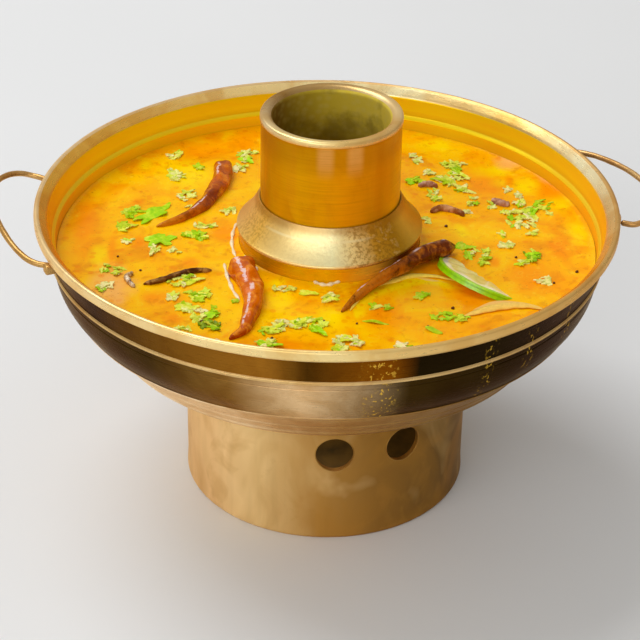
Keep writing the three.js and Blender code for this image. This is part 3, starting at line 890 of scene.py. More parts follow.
SLICES = {
    "lime_slice": (75.5, -35.4, 26, 4.2, 212.5, 26.4, 8.5),
    "round_slice_front": (37.5, -68.5, 30, 3, 78, 4, 0.9),
    "round_slice_right": (80.5, -92.5, 30, 3, 94, 16, 2),
}
LEAVES = [
    (-84.5, 28.5, 27, 11, 50, 5), (-98, 15.5, 13, 8, 20, 3), (-81, 1.5, 17, 14, 20, 5),
    (-64, 5.5, 15, 5, -22, 3), (-66.5, -40, 16, 6, 24, 3), (-62.5, -54, 13, 7, 18, 3),
    (-57, -71, 9, 7, 30, 3), (-69, -64, 14, 5, 10, 3), (-30, -83.5, 13, 6, 24, 3), (-17, -78, 12, 6, 28, 3),
    (-9, -86.5, 12, 5, -52, 3), (4, -94.5, 15, 7, -14, 3), (0, -103.5, 10, 5, 4, 3),
    (-32, -97.5, 14, 6, -16, 3), (-12, -52, 11, 5, -18, 3), (-2, -59, 9, 5, -10, 3),
    (17.5, -79.5, 13, 2.6, -16, 0), (43.5, -88, 9, 2.6, -34, 0), (66.5, -9.5, 12, 8, -20, 3),
    (98.5, -20, 9, 8, 20, 3), (72, 68, 15, 6, -38, 3), (63, 62, 13, 4, -22, 0), (47.5, 60, 9, 6, 24, 3),
    (104, 25, 10, 7, 40, 3), (-37, 88, 12, 6, -50, 3),
]


def plump(along):
    cap = min(1, math.sqrt(along * 14 + 0.001))
    return cap * (min(1, 0.6 + along * 5) * max(0, 1 - along) ** 0.55 + 0.07 * min(1, (1 - along) * 30))


def slender(along):
    ends = min(1, math.sqrt(along * 12), math.sqrt(max(0, 1 - along) * 12))
    return ends * (0.75 + 0.25 * math.sin(math.pi * along))


def chilli_skin(name, stops, spots, glow, dull=0.5, shine=()):
    """Dried chilli skin: colours from stalk to tip, spots and painted highlights, pale streaks that stand
    for a wet sheen.

    A painted highlight streak is its start and end along the chilli, and the flank it lies on from -1 to 1.
    """
    material, tree, shader = blank(name)
    along = put(tree, "Attribute", attribute_name="along").outputs["Fac"]
    flank = put(tree, "Attribute", attribute_name="flank").outputs["Fac"]
    crown = put(tree, "Attribute", attribute_name="crown").outputs["Fac"]
    wide = grain(tree, scaled_place(tree), 150, 4, 0.6, 0.8)
    fine = grain(tree, scaled_place(tree), 560, 3, 0.6)
    colour = ramp(tree, along, stops)
    light = shade(tree, wide, 0.5, 0, 0.64, 0.75)
    colour = mix(tree, light, colour, glow)
    dark = shade(tree, wide, 0.34, dull, 0.46, 0)
    colour = mix(tree, dark, colour, spots)
    colour = mix(tree, shade(tree, fine, 0.56, 0, 0.68, 0.4), colour, spots)
    shifted = sums(tree, "MULTIPLY_ADD", wide, 0.9, sums(tree, "SUBTRACT", flank, 0.45))
    # Painted highlights: pale pink-white streaks along one flank, standing for a wet sheen.
    for start, end, side in shine:
        streak = times(tree, window(tree, along, start, end, 0.02),
                      window(tree, shifted, side - 0.14, side + 0.14, 0.05))
        streak = times(tree, streak, band(tree, crown, -0.1, 0.25))
        streak = times(tree, streak, band(tree, fine, 0.36, 0.5))
        colour = mix(tree, times(tree, streak, 0.8), colour, (238, 214, 214))
    feed(tree, shader, {
        "Base Color": colour, "Roughness": 0.22, "Specular IOR Level": 0.35,
        "Specular Tint": (1, 0.45, 0.16, 1), "Normal": bump(tree, fine, 0.25, 0.0005),
    })
    return material


def chilli_looks():
    return {
        "chilli_back": chilli_skin("chilli_back_skin", [
            (0, (176, 84, 8)), (0.3, (210, 100, 4)), (0.5, (140, 56, 4)), (0.75, (190, 96, 8)),
            (1, (206, 124, 14))], (96, 32, 2), (232, 140, 30), shine=((0.1, 0.26, 0.4), (0.55, 0.72, 0.1))),
        "chilli_front": chilli_skin("chilli_front_skin", [
            (0, (180, 78, 0)), (0.25, (206, 96, 0)), (0.6, (212, 102, 0)), (0.85, (188, 78, 0)),
            (1, (160, 60, 0))], (150, 56, 0), (240, 150, 30),
            shine=((0.05, 0.36, 0.42), (0.4, 0.47, 0.1), (0.5, 0.84, 0.5))),
        "chilli_leaning": chilli_skin("chilli_leaning_skin", [
            (0, (90, 34, 2)), (0.14, (110, 44, 3)), (0.34, (100, 38, 2)), (0.5, (160, 84, 8)),
            (0.75, (190, 112, 14)), (1, (176, 98, 10))], (46, 12, 0), (200, 116, 20), 0.8,
            shine=((0.05, 0.09, 0.3), (0.17, 0.21, 0.3), (0.28, 0.33, 0.2), (0.44, 0.6, 0.4),
                   (0.72, 0.8, 0.3))),
        "chilli_left": chilli_skin("chilli_left_skin", [
            (0, (104, 56, 12)), (0.5, (92, 48, 10)), (1, (60, 26, 6))], (30, 12, 4), (196, 146, 72)),
        "chilli_curl": chilli_skin("chilli_curl_skin", [
            (0, (120, 56, 12)), (0.4, (176, 112, 60)), (1, (150, 84, 30))], (80, 26, 4), (226, 170, 120)),
        "chilli_scrap": chilli_skin("chilli_scrap_skin", [
            (0, (150, 84, 52)), (0.5, (196, 146, 120)), (1, (160, 90, 50))], (104, 40, 16), (220, 180, 160)),
        "chilli_stalk": stalk_skin(),
    }


def stalk_skin():
    material, tree, shader = blank("stalk_skin")
    fibres = grain(tree, scaled_place(tree), 420, 4)
    colour = ramp(tree, fibres, [(0.35, (120, 76, 30)), (0.6, (226, 196, 150)), (0.75, (250, 236, 206))])
    feed(tree, shader, {
        "Base Color": colour, "Roughness": 0.35, "Coat Weight": 0.4,
        "Normal": bump(tree, fibres, 0.4, 0.0005),
    })
    return material


def chillies():
    looks = chilli_looks()
    for number, (name, (route, thick)) in enumerate(CHILLIES.items()):
        big = thick > 3
        lifted = [(x, y, FLOATING + lift) for x, y, lift in route]

        def wrinkled(along, angle, seed=number * 3.7, fold=0.13 if big else 0.2):
            across = noise.noise(Vector((seed, along * 7, 1.7))) * 2
            folds = math.sin(3 * angle + across * 2 + seed) * 0.5
            folds += math.sin(5 * angle - across * 3 + 7 * along) * 0.25
            lumps = noise.noise(Vector((math.cos(angle) * 1.4 + seed, math.sin(angle) * 1.4, along * 10)))
            return 1 + fold * folds + 0.16 * lumps

        piece = rod(
            lifted, (lambda along: thick * plump(along)) if big else (lambda along: thick * slender(along)),
            36 if big else 20, 150 if big else 60, wrinkled,
        )
        wear(piece, looks["chilli_scrap" if "scrap" in name else name])
        smooth(piece, 60)
        settle(piece, name.replace("chilli", "dried_chilli"), [name])


# ---- Slices ----
def slice_turn(name):
    """The matrix that lays a flat slice, made at the origin, where it floats."""
    x, y, radius, thick, raised, tilt, edge = SLICES[name]
    lean = math.radians(tilt)
    height = SOUP_LEVEL + edge - radius * math.sin(lean) - (thick / 2) * math.cos(lean)
    turn = Matrix.Rotation(math.radians(raised), 4, "Z") @ Matrix.Rotation(-lean, 4, "Y")
    return Matrix.Translation(Vector((x, y, height)) * MM) @ turn


def lay_slice(name, new_name, looks, form):
    radius, thick = SLICES[name][2:4]
    size = {"radius": radius * MM, "depth": thick * MM}
    piece = subdivided(added("cylinder", vertices=96, end_fill_type="TRIFAN", **size), 5)

    def formed(place, normal):
        far = math.hypot(place.x, place.y) / (radius * MM)
        angle = math.atan2(place.y, place.x)
        return form(place, far, angle, thick * MM)

    move_points(piece, formed)
    piece.data.transform(slice_turn(name))
    edit(piece)
    cut_height = (SOUP_LEVEL - SLICE_SINK) * MM
    bpy.ops.mesh.bisect(plane_co=(0, 0, cut_height), plane_no=(0, 0, 1), clear_inner=True, use_fill=True)
    bpy.ops.mesh.select_all(action="SELECT")
    bpy.ops.mesh.remove_doubles(threshold=1e-6)
    bpy.ops.mesh.normals_make_consistent(inside=False)
    done()
    wear(piece, *looks)
    smooth(piece, 45)
    return settle(piece, new_name, [name])


def in_slice(tree, name):
    """Angle, distance and place on a slice's own face, in metres."""
    matrix = slice_turn(name)
    ends = {0: put(tree, "TexCoord").outputs["Object"], 1: tuple(matrix.translation)}
    moved = put(tree, "VectorMath", ends, operation="SUBTRACT").outputs[0]
    x, y = (
        put(tree, "VectorMath", {0: moved, 1: tuple(row)}, operation="DOT_PRODUCT").outputs["Value"]
        for row in matrix.to_3x3().transposed()[:2]
    )
    flat = put(tree, "CombineXYZ", {0: x, 1: y}).outputs[0]
    far = put(tree, "VectorMath", {0: flat}, operation="LENGTH").outputs["Value"]
    return sums(tree, "ARCTAN2", y, x), far, flat


def lime_flesh():
    material, tree, shader = blank("lime_flesh")
    angle, far, flat = in_slice(tree, "lime_slice")
    radius = SLICES["lime_slice"][2] * MM
    zest = grain(tree, scaled_place(tree), 500, 3)
    pulp = grain(tree, flat, 180, 5, 0.6, 0.5)
    walls = sums(tree, "SINE", times(tree, angle, 4.5))
    walls = band(tree, sums(tree, "ABSOLUTE", walls), 0.22, 0.05)
    flesh = ramp(tree, pulp, [(0.35, (222, 208, 96)), (0.55, (240, 230, 146)), (0.7, (250, 246, 200))])
    flesh = mix(tree, times(tree, walls, 0.7), flesh, (252, 250, 214))
    rind = ramp(tree, zest, [(0.35, (142, 216, 0)), (0.6, (164, 230, 4))])
    share = put(tree, "MapRange", {0: far, 1: 0.0, 2: radius, 3: 0.0, 4: 1.0}).outputs[0]
    colour = mix(tree, band(tree, share, 0.82, 0.86), flesh, (252, 248, 216))
    colour = mix(tree, band(tree, share, 0.925, 0.95), colour, rind)
    feed(tree, shader, {
        "Base Color": colour, "Roughness": 0.28, "Coat Weight": 0.5, "Coat Roughness": 0.1,
        "Subsurface Weight": 0.2, "Subsurface Radius": (0.004, 0.004, 0.001), "Subsurface Scale": 0.4,
        "Normal": bump(tree, pulp, 0.35, 0.0008),
    })
    return material


def round_slice_flesh(name, rim_colour, flesh_colour):
    """A pale edge line, flesh inside it and soup lying over the sunk middle."""
    material, tree, shader = blank(name + "_flesh")
    _, far, flat = in_slice(tree, name)
    radius = SLICES[name][2] * MM
    pulp = grain(tree, flat, 150, 5, 0.6, 0.5)
    share = put(tree, "MapRange", {0: far, 1: 0.0, 2: radius, 3: 0.0, 4: 1.0}).outputs[0]
    flesh = ramp(tree, pulp, [(0.38, (252, 176, 20)), (0.6, flesh_colour)])
    colour = mix(tree, band(tree, share, 0.84, 0.94), flesh, rim_colour)
    feed(tree, shader, {
        "Base Color": colour, "Roughness": 0.28, "Specular Tint": (1, 0.7, 0.3, 1), "Coat Weight": 0.15,
        "Normal": bump(tree, pulp, 0.25, 0.0006),
    })
    return material


def slices():
    def lime_form(place, far, angle, thick):
        top = place.z > 0
        edge = max(0.0, far - 0.9) / 0.1
        lift = 0.00035 * math.sin(9 * angle) * min(1, far * 2) * (1 - edge)
        round_off = (thick / 2) * 0.25 * edge**2
        z = place.z + (lift - round_off if top else round_off)
        return Vector((place.x, place.y, z))

    def plain_form(place, far, angle, thick):
        edge = max(0.0, far - 0.92) / 0.08
        if place.z > 0:
            place.z -= thick * 0.42 * clamp((0.93 - far) / 0.12)
        wobble = 1 + 0.012 * math.sin(5 * angle + 1) + 0.008 * math.sin(11 * angle)
        round_off = (thick / 2) * 0.5 * edge**2 * (1 if place.z > 0 else -1)
        return Vector((place.x * wobble, place.y * wobble, place.z - round_off))

    lay_slice("lime_slice", "lime_round", [lime_flesh()], lime_form)
    for name, rim_colour, flesh_colour in (
        ("round_slice_front", (250, 206, 92), (255, 200, 24)),
        ("round_slice_right", (240, 190, 104), (250, 186, 40)),
    ):
        look = round_slice_flesh(name, rim_colour, flesh_colour)
        lay_slice(name, name.replace("round_slice", "pale_slice"), [look], plain_form)


# The visible rim of a sunk slice: route, half its width, height and colour.
RIM_LINES = {
    "front": ([
        (6.7, -69.4), (13.9, -53), (21.5, -45.7), (29.4, -42.2), (36.3, -38.6), (42.6, -37.8), (50.6, -39),
        (58.2, -43)], 1.9, 1.0, (255, 224, 84)),
    "right": ([
        (58.5, -76), (65, -72.6), (72, -69.4), (80.6, -67.2), (89, -67.4), (96.5, -71)],
        2.7, 0.9, (255, 210, 96)),
}


def slice_rims():
    """The rim line of each sunk slice, flattened and standing just out of the soup."""
    level = SOUP_LEVEL + 0.7
    for name, (route, wide, high, colour) in RIM_LINES.items():
        def radius_at(along):
            return wide * math.sin(math.pi * min(0.995, max(0.005, along))) ** 0.6

        def flattened(place, normal):
            return Vector((place.x, place.y, level * MM + (place.z - level * MM) * high / wide))

        piece = rod([(x, y, level) for x, y in route], radius_at, 16, 90,
                    lambda along, angle: 1 + 0.06 * math.sin(31 * along + 2 * angle))
        move_points(piece, flattened)
        wear(piece, glossy("slice_rim_" + name, colour, 0.3))
        smooth(piece, 60)
        settle(piece, "slice_rim_" + name)


# ---- Leaves ----
def leaf_green(name, low, high, vein):
    material, tree, shader = blank(name)
    patches = grain(tree, scaled_place(tree), 260, 4, 0.6, 0.6)
    fine = grain(tree, scaled_place(tree), 900, 3)
    colour = ramp(tree, patches, [(0.32, low), (0.55, high), (0.72, vein)])
    feed(tree, shader, {
        "Base Color": colour, "Roughness": 0.35, "Specular IOR Level": 0.25,
        "Specular Tint": (1, 1, 0.3, 1), "Normal": bump(tree, fine, 0.3, 0.0004),
    })
    return material


def leaf_blade(length, width, turn, lobes, seed):
    """A flat leaf with toothed lobes, or a strip of stem, lying on the soup at the origin."""
    piece = subdivided(added("circle", vertices=72, radius=1, fill_type="TRIFAN"), 3)
    for vertex in piece.data.vertices:
        far = math.hypot(vertex.co.x, vertex.co.y)
        angle = math.atan2(vertex.co.y, vertex.co.x)
        shape = 1.0
        if lobes:
            shape = 0.8 + 0.2 * math.cos(lobes * angle) + 0.05 * math.sin(13 * angle + seed)
        x = vertex.co.x * shape * length / 2
        y = vertex.co.y * shape * width / 2
        ridge = 0.35 * abs(math.sin(lobes * angle / 2)) * far if lobes else 0.5 * (1 - far)
        wave = 0.45 * math.sin(0.55 * x + seed) + 0.35 * math.sin(0.8 * y + 2 * seed)
        vertex.co = Vector((x, y, 0.55 + ridge * 0.6 + wave * far)) * MM
    piece.data.transform(Matrix.Rotation(math.radians(turn), 4, "Z"))
    return thickened(piece, 0.35)


def leaves():
    greens = [
        leaf_green("coriander_green", (140, 204, 0), (174, 226, 2), (226, 238, 60)),
        leaf_green("coriander_pale", (196, 216, 6), (234, 238, 70), (250, 246, 150)),
        leaf_green("coriander_stem", (150, 190, 6), (190, 212, 14), (226, 230, 80)),
    ]
    pale = {1, 3, 4, 5, 7, 8, 9, 11, 12, 14, 15, 20}
    for i, (x, y, length, width, turn, lobes) in enumerate(LEAVES):
        piece = leaf_blade(length, width, turn, lobes, 1.3 * i)
        piece.data.transform(Matrix.Translation(Vector((x, y, SOUP_LEVEL)) * MM))
        wear(piece, greens[2 if not lobes else 1 if i in pale else 0])
        smooth(piece, 60)
        name = f"{i + 1:02d}"
        settle(piece, "coriander_" + name, ["leaf_" + name])


# ---- Soup ----
# Where chopped herbs lie: x, y, reach sideways, reach in depth, pieces and look,
# which is 0 pale, 1 vivid, 2 dark or 3 cream.
HERB_PATCHES = [
    (-74, 94, 3, 5, 5, 0), (-74, 70, 5, 6, 8, 0), (-61, 78, 2, 3, 2, 0), (-36, 92, 5, 8, 8, 0),
    (-40, 78, 3, 5, 4, 0), (-68, 48, 4, 6, 6, 0), (-93, 30, 6, 7, 8, 1), (-99, 17, 3, 4, 3, 1),
    (-66, 34, 2, 3, 2, 0), (-47, 31, 5, 3, 4, 0), (-59, 15, 6, 3, 5, 0), (-84, -7, 4, 5, 5, 0),
    (-74, -10, 3, 2, 2, 0), (-64, 6, 6, 4, 5, 1), (-99, 15, 2, 5, 2, 1), (-97, 3, 3, 3, 2, 0),
    (-107, -25, 2, 4, 3, 0), (-101, -27, 2, 4, 3, 0), (-107, -44, 3, 3, 3, 3), (-71, -37, 6, 6, 9, 0),
    (-63, -52, 5, 5, 7, 1), (-75, -54, 2, 4, 3, 0), (-71, -64, 3, 4, 4, 0), (-63, -70, 4, 6, 6, 0),
    (-55, -68, 2, 5, 3, 1), (-61, -77, 2, 3, 2, 2), (-55, -81, 2, 4, 3, 2), (-70, -83, 3, 2, 3, 0),
    (-47, -59, 3, 3, 2, 0), (-2, -57, 4, 4, 4, 0), (-23, -48, 5, 2, 4, 0), (-12, -80, 6, 9, 8, 1),
    (-22, -82, 8, 5, 9, 0), (-33, -87, 3, 2, 2, 1), (4, -96, 5, 5, 6, 3), (1, -103, 4, 2, 3, 0),
    (-31, -97, 6, 3, 5, 0), (28, -101, 3, 2, 3, 3), (20, -67, 5, 3, 4, 1), (42, -55, 3, 4, 3, 1),
    (52, -76, 9, 4, 8, 1), (52, 87, 2, 6, 5, 0), (72, 79, 9, 3, 8, 0), (74, 72, 4, 6, 5, 1),
    (68, 63, 8, 7, 9, 0), (55, 71, 4, 3, 3, 0), (50, 60, 5, 5, 5, 1), (59, 46, 5, 6, 6, 0),
    (73, 49, 4, 6, 5, 0), (77, 37, 3, 5, 4, 0), (84, 32, 3, 4, 2, 0), (97, 50, 3, 4, 3, 3),
    (100, 41, 2, 3, 2, 3), (91, 24, 2, 3, 2, 0), (101, 24, 6, 15, 16, 0), (112, 30, 5, 8, 6, 1),
    (94, 14, 3, 6, 3, 3), (101, 4, 3, 4, 3, 0), (88, 4, 2, 4, 2, 0), (72, 26, 2, 3, 2, 0),
    (51, 19, 2, 3, 2, 0), (65, -15, 4, 6, 5, 1), (74, -16, 5, 3, 4, 0), (88, -8, 3, 3, 3, 0),
    (74, -24, 3, 4, 3, 1), (98, -19, 4, 6, 6, 2), (92, -25, 3, 3, 3, 1), (101, -44, 4, 3, 3, 3),
]
DEEP_OIL = [
    (-59, 100, 15, 10), (-36, 112, 7, 11), (-92, 43, 3, 3), (-104, -7, 2, 10), (-91, 1, 3, 5),
    (-75, -73, 4, 4), (-83, -55, 6, 6), (-52, 9, 6, 10), (84, 56, 9, 13), (98, 60, 2, 6), (118, 50, 7, 10),
    (95, -40, 12, 14), (65, -59, 9, 11), (79, -24, 3, 5), (44, -29, 8, 6), (-24, -98, 7, 4),
    (21, -73, 8, 14), (-67, -21, 4, 5), (6, -92, 3, 7), (-118, 20, 5, 26), (36, 64, 8, 14),
    (112, -12, 5, 10),
]
BRIGHT_YELLOW = [
    (90, 71, 8, 6), (106, 55, 7, 8), (92, 58, 4, 4), (119, 35, 5, 8), (124, 5, 4, 9), (67, 8, 3, 6),
    (-110, -11, 4, 9), (-26, -58, 6, 9), (-2, -74, 6, 11), (-67, 72, 12, 17), (-27, -43, 3, 4),
    (64, 103, 8, 6), (-89, 84, 3, 6),
]
PEACH = [(-104, -42, 9, 15), (-100, -55, 3, 4), (100, 82, 6, 7), (120, 63, 5, 7)]
# Routes of the thin pale lines that are painted reflections on the soup, at the collar and the chillies.
GLINT_STROKE_ROUTES = [
    [(-43.1, 18.8), (-45.3, 8.5), (-46.1, -2.7), (-45.3, -11.8), (-44.4, -15.8)],
    [(-40.6, -16.9), (-37.9, -22.9), (-34.3, -29.8)], [(-8.9, -43), (-2.9, -45.1), (4.3, -43.4)],
    [(-50.3, -21.5), (-49.1, -34.2), (-46.6, -48.4), (-43.6, -57.8)],
    [(-67.3, -87.6), (-62.4, -90.3), (-57.1, -93.1), (-53.5, -93.2)],
]
PEPPERCORNS = [
    (9.1, -80.3), (41.3, -84), (54.5, -67.8), (-30.1, -92.3), (90.3, -20.8), (104.9, -46.1), (-61.4, -76.4),
    (-5.8, -78.1), (117.6, -35.4), (-101, -14), (-90, -28), (60, 12),
]


def waves(x, y, scale, layer):
    return noise.noise(Vector((x * scale, y * scale, layer)))


def pool(x, y, spots):
    """1 inside any of the spots, fading with ragged edges to 0 outside."""
    ragged = 0.35 * waves(x, y, 0.13, 5.5) + 0.2 * waves(x, y, 0.4, 1.5)
    best = 0.0
    for spot_x, spot_y, wide, deep in spots:
        reach = math.hypot((x - spot_x) / wide, (y - spot_y) / deep) + ragged
        best = max(best, clamp(1.5 - reach))
    return best


def route_distance(x, y, route):
    best = 1e9
    for a, b in zip(route, route[1:]):
        along = Vector((b[0] - a[0], b[1] - a[1]))
        here = Vector((x - a[0], y - a[1]))
        share = clamp(here.dot(along) / along.length_squared)
        best = min(best, (here - along * share).length)
    return best


def soup_height(x, y):
    """How far the soup's skin stands above its level at a place, in millimetres."""
    far = math.hypot(x, y)
    rise = 0.9 * math.exp(-(WALL_AT_SOUP - far) / 1.1) + 1.1 * math.exp(-(far - FIRE_TUBE) / 1.1)
    rise += 0.22 * waves(x, y, 0.06, 0.3) + 0.12 * waves(x, y, 0.2, 4.1)
    rise += 0.05 * waves(x, y, 0.55, 9.2)
    for route, thick in CHILLIES.values():
        reach = route_distance(x, y, route) - thick * 0.75
        if reach < 8:
            rise += 0.5 * math.exp(-max(0.0, reach) / 1.3)
    for patch_x, patch_y, wide, deep, _, _ in HERB_PATCHES:
        reach = math.hypot((x - patch_x) / (wide + 3), (y - patch_y) / (deep + 3))
        if reach < 1:
            rise += (1 - reach**2) * (0.2 + 0.3 * waves(x, y, 0.5, 2.2))
    return rise


def soup_colour():
    material, tree, shader = blank("soup_surface")
    place = scaled_place(tree)
    wide = grain(tree, place, 15, 4, 0.55, 1.2)
    middle = grain(tree, place, 42, 5, 0.6, 1.2)
    fine = grain(tree, place, 150, 4, 0.6, 0.4)
    colour = ramp(tree, wide, [
        (0.34, (246, 158, 0)), (0.46, (255, 178, 0)), (0.56, (255, 188, 0)), (0.68, (255, 206, 2)),
    ])
    colour = mix(tree, shade(tree, middle, 0.52, 0, 0.64, 0.6), colour, (255, 206, 4))
    colour = mix(tree, shade(tree, middle, 0.34, 0.7, 0.46, 0), colour, (232, 142, 1))
    for name, picked, strength in (
        ("yellow", (255, 222, 2), 0.75), ("oil", (252, 134, 0), 0.6), ("peach", (250, 184, 104), 0.7)
    ):
        share = put(tree, "Attribute", attribute_name=name).outputs["Fac"]
        share = times(tree, share, sums(tree, "ADD", middle, 0.5))
        colour = mix(tree, times(tree, share, strength), colour, picked)
    drops = put(tree, "TexVoronoi", {"Vector": place, "Scale": 190.0, "Randomness": 1.0}).outputs[0]
    where = times(tree, band(tree, drops, 0.34, 0.24), band(tree, middle, 0.56, 0.44))
    colour = mix(tree, times(tree, where, 0.45), colour, (244, 136, 0))
    beads = window(tree, drops, 0.30, 0.36, 0.03)
    beads = times(tree, beads, band(tree, middle, 0.48, 0.6))
    colour = mix(tree, times(tree, beads, 0.3), colour, (255, 222, 60))
    colour = mix(tree, shade(tree, fine, 0.58, 0, 0.68, 0.4), colour, (214, 120, 0))
    spice = grain(tree, place, 620, 2, 0.5)
    colour = mix(tree, times(tree, band(tree, spice, 0.69, 0.73), 0.4), colour, (170, 84, 2))
    feed(tree, shader, {
        "Base Color": colour, "Roughness": 0.2, "Specular IOR Level": 0.1,
        "Specular Tint": (1, 0.55, 0.06, 1), "Normal": bump(tree, fine, 0.12, 0.0006),
    })
    return material


def soup():
    inner, outer = FIRE_TUBE + 0.15, WALL_AT_SOUP - 0.1
    top = [Vector((inner, SOUP_LEVEL))]
    rings = 78
    for i in range(1, rings):
        share = i / rings
        eased = 0.5 - 0.5 * math.cos(math.pi * share)
        blend = 0.25 * eased + 0.75 * share
        top.append(Vector((inner + (outer - inner) * blend, SOUP_LEVEL)))
    top.append(Vector((outer, SOUP_LEVEL)))
    below = rounded([
        (126, RIM - 34.2, 0), (112.8, RIM - 59.9, FULL), (91.8, SOUP_FLOOR, 0), (inner, SOUP_FLOOR, 0)
    ])
    piece = spun(top + below, 300)

    def skin(place, normal):
        across = place.x + hole_shift(place)
        if place.z < (SOUP_LEVEL - 0.01) * MM:
            return Vector((across, place.y, place.z))
        rise = soup_height(place.x / MM, place.y / MM)
        return Vector((across, place.y, (SOUP_LEVEL + rise) * MM))

    slice_x, slice_y, slice_radius = SLICES["round_slice_front"][:3]
    for name, spots in (("oil", DEEP_OIL), ("yellow", BRIGHT_YELLOW), ("peach", PEACH)):
        shares = piece.data.attributes.new(name, "FLOAT", "POINT")
        for vertex, share in zip(piece.data.vertices, shares.data):
            x, y = vertex.co.x / MM, vertex.co.y / MM
            share.value = pool(x, y, spots)
            if name == "yellow" and math.hypot(x - slice_x, y - slice_y) < slice_radius:
                reach = route_distance(x, y, RIM_LINES["front"][0])
                share.value = max(share.value, clamp((8.5 - reach) / 3))
    move_points(piece, skin)
    wear(piece, soup_colour())
    smooth(piece, 60)
    return settle(piece, "soup_pool", ["soup"])


def glossy(name, colour, shine=0.2):
    material, tree, shader = blank(name)
    mottled = grain(tree, scaled_place(tree), 500, 3)
    stops = [(0.35, tuple(c * 0.92 for c in colour)), (0.65, colour)]
    feed(tree, shader, {
        "Base Color": ramp(tree, mottled, stops), "Roughness": shine, "Specular Tint": (1, 0.8, 0.5, 1),
    })
    return material


def meniscus_glint_strokes():
    """Thin pale lines on the soup at the edge of the collar and the chillies: painted reflections, made as
    thin rods.
    """
    parts = []
    for route in GLINT_STROKE_ROUTES:
        lifted = [(x, y, SOUP_LEVEL + soup_height(x, y) + 0.05) for x, y in route]
        parts.append(rod(lifted, lambda along: 0.85 * slender(along), 10, 36,
                         lambda along, angle: 1 + 0.3 * math.sin(23 * along)))
    join_parts(parts)
    wear(parts[0], glossy("painted_glint_white", (255, 240, 200)))
    smooth(parts[0], 60)
    settle(parts[0], "painted_meniscus_glints")


def peppercorns():
    """Small dark specks, one modelled and then copied."""
    first = added("ico_sphere", subdivisions=3, radius=0.72 * MM)
    move_points(first, lambda place, normal: place + normal * (0.00018 * noise.noise(place * 1800)))
    parts = []
    for x, y in PEPPERCORNS:
        copied = copy_of(first)
        size = random.uniform(0.7, 1.2)
        spot = Matrix.Translation(Vector((x, y, SOUP_LEVEL + soup_height(x, y) + 0.2)) * MM)
        copied.data.transform(spot @ Matrix.Rotation(random.uniform(0, 3), 4, "X") @ Matrix.Scale(size, 4))
        parts.append(copied)
    bpy.data.objects.remove(first)
    join_parts(parts)
    wear(parts[0], glossy("peppercorn", (90, 36, 6), 0.4))
    smooth(parts[0], 60)
    settle(parts[0], "dark_specks")


def scrap(number):
    """One torn, crumpled scrap of leaf, about 5 mm long, flat at the origin."""
    piece = subdivided(added("circle", vertices=22, radius=1, fill_type="TRIFAN"), 2)
    lobes, narrow = ((3, 0.75), (5, 0.6), (3, 0.45), (4, 0.8), (2, 0.3), (2, 0.42))[number]
    for vertex in piece.data.vertices:
        x, y, _ = vertex.co
        far, angle = math.hypot(x, y), math.atan2(y, x)
        shape = 0.78 + 0.22 * math.cos(lobes * angle + number) + 0.1 * math.sin(9 * angle + 2 * number)
        fold = 0.28 * abs(math.sin(1.6 * x + number)) + 0.2 * math.sin(3 * y + 2 * number) * far
        vertex.co = Vector((x * shape * 2.6, y * shape * 2.6 * narrow, 0.9 * fold)) * MM
    return thickened(piece, 0.4)


def scrap_greens():
    """Herb scraps coloured by their own tint: pale, vivid, dark or cream."""
    material, tree, shader = blank("herb_scraps")
    tint = put(tree, "Attribute", attribute_name="tint").outputs["Fac"]
    patches = grain(tree, scaled_place(tree), 420, 3, 0.6)
    colour = ramp(tree, tint, [
        (0.0, (96, 110, 4)), (0.12, (128, 176, 0)), (0.3, (160, 214, 6)), (0.5, (196, 220, 20)),
        (0.68, (230, 234, 84)), (0.84, (240, 238, 140)), (1.0, (250, 232, 176)),
    ])
    colour = mix(tree, shade(tree, patches, 0.4, 0.55, 0.52, 0), colour, (166, 184, 8))
    feed(tree, shader, {
        "Base Color": colour, "Roughness": 0.32, "Specular IOR Level": 0.25,
        "Specular Tint": (1, 1, 0.3, 1), "Normal": bump(tree, patches, 0.3, 0.0004),
    })
    return material


def herb_bits():
    """Chopped coriander: six scraps modelled one by one, copied into patches."""
    shapes = [scrap(number) for number in range(6)]
    middles = ((0.58, 0.95), (0.25, 0.6), (0.0, 0.2), (0.86, 1.0))
    parts = []
    for patch_x, patch_y, wide, deep, pieces, look in HERB_PATCHES:
        for _ in range(round(pieces * 1.6)):
            turn, out = random.uniform(0, 2 * math.pi), math.sqrt(random.random())
            x, y = patch_x + wide * out * math.cos(turn), patch_y + deep * out * math.sin(turn)
            shape, size = random.choice(shapes), random.uniform(0.7, 1.5)
            spin, lean = random.uniform(0, 2 * math.pi), random.uniform(-0.3, 0.3)
            low, high = middles[look if random.random() < 0.8 else random.choice((0, 1))]
            tint = random.uniform(low, high)
            far = math.hypot(x, y)
            if far > 126 or far < 49:
                continue
            copied = copy_of(shape)
            up = SOUP_LEVEL + soup_height(x, y) + 0.25
            spot = Matrix.Translation(Vector((x, y, up)) * MM) @ Matrix.Rotation(spin, 4, "Z")
            copied.data.transform(spot @ Matrix.Rotation(lean, 4, "Y") @ Matrix.Scale(size, 4))
            tints = copied.data.attributes.new("tint", "FLOAT", "POINT")
            for value in tints.data:
                value.value = tint
            parts.append(copied)
    for shape in shapes:
        bpy.data.objects.remove(shape)
    join_parts(parts)
    wear(parts[0], scrap_greens())
    smooth(parts[0], 50)
    settle(parts[0], "chopped_coriander")


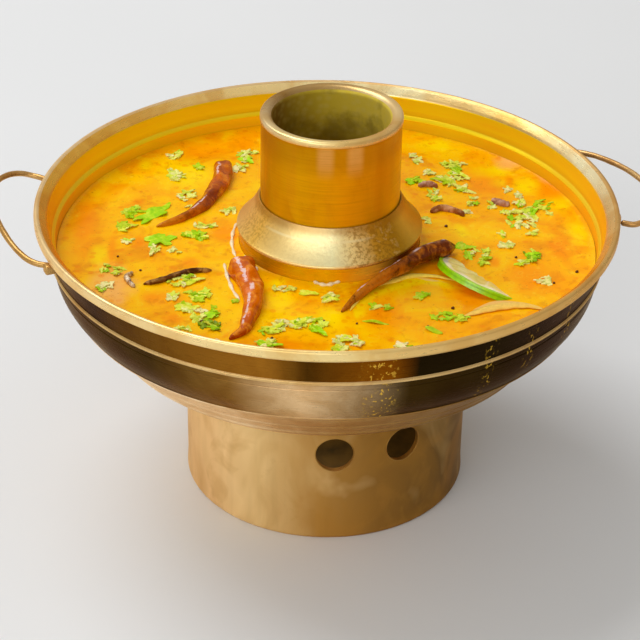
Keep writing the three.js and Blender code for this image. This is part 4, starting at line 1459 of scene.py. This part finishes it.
# ---- Camera, floor and light ----
def camera():
    """The photo's viewpoint: a long lens above and in front of the pot."""
    data = bpy.data.cameras.new("camera")
    data.sensor_width = 36
    data.lens = 120.53
    data.clip_start = 0.05
    seen = bpy.data.objects.new("camera", data)
    bpy.context.scene.collection.objects.link(seen)
    heading, pitch, roll = -0.0672, 0.5362, 0.0184
    turn = (
        Matrix.Rotation(heading, 4, "Z")
        @ Matrix.Rotation(math.pi / 2 - pitch, 4, "X")
        @ Matrix.Rotation(roll, 4, "Z")
    )
    seen.matrix_world = Matrix.Translation(Vector((-64.06, -916.16, 628.57)) * MM) @ turn
    bpy.context.scene.camera = seen


def softbox(name, place, aim, size, power, colour=(1, 1, 1)):
    data = bpy.data.lights.new(name, "AREA")
    data.shape = "RECTANGLE"
    data.size, data.size_y = size
    data.energy = power
    data.color = colour
    lamp = bpy.data.objects.new(name, data)
    bpy.context.scene.collection.objects.link(lamp)
    lamp.location = place
    lamp.rotation_euler = (Vector(aim) - Vector(place)).to_track_quat("-Z", "Y").to_euler()


def studio():
    floor = added("plane", size=8)
    floor.name = "floor"
    material, tree, shader = blank("pale_floor")
    paper = grain(tree, scaled_place(tree), 3, 2)
    feed(tree, shader, {
        "Base Color": shade(tree, paper, 0.3, 0.79, 0.7, 0.81), "Roughness": 0.9, "Specular IOR Level": 0.1,
    })
    wear(floor, material)

    world = bpy.data.worlds.new("studio")
    bpy.context.scene.world = world
    world.use_nodes = True
    tree = world.node_tree
    sky = put(tree, "SeparateXYZ", {0: put(tree, "TexCoord").outputs["Generated"]})
    glow = [(0.0, (0.34, 0.33, 0.31)), (0.25, (0.42, 0.41, 0.39)), (1.0, (0.48, 0.475, 0.46))]
    bright = stepped(tree, sky.outputs[2], glow)
    tree.links.new(bright, tree.nodes["Background"].inputs["Color"])
    tree.nodes["Background"].inputs["Strength"].default_value = 1.0
    softbox("key", (-1.05, 1.05, 2.6), (0, 0, 0.1), (1.7, 1.7), 44, (0.98, 1.0, 1.03))
    softbox("front", (-1.1, -1.9, 1.2), (0, 0, 0.12), (2.8, 1.2), 24)
    # A faint lamp in the base, so that the vents show its brown inside.
    inside = bpy.data.lights.new("inside_base", "POINT")
    inside.energy = 0.028
    inside.color = (1, 0.9, 0.6)
    inside.shadow_soft_size = 0.01
    lamp = bpy.data.objects.new("inside_base", inside)
    bpy.context.scene.collection.objects.link(lamp)
    lamp.location = (0, 0, 0.05)
    bpy.context.scene.view_settings.view_transform = "Standard"


camera()
studio()
bowl_shell()
fire_tube_sleeve()
base_drum()
vent_rims()
ash_plate()
collar_ring()
chimney_pipe()
handle_wires()
chillies()
slices()
slice_rims()
leaves()
soup()
meniscus_glint_strokes()
peppercorns()
herb_bits()
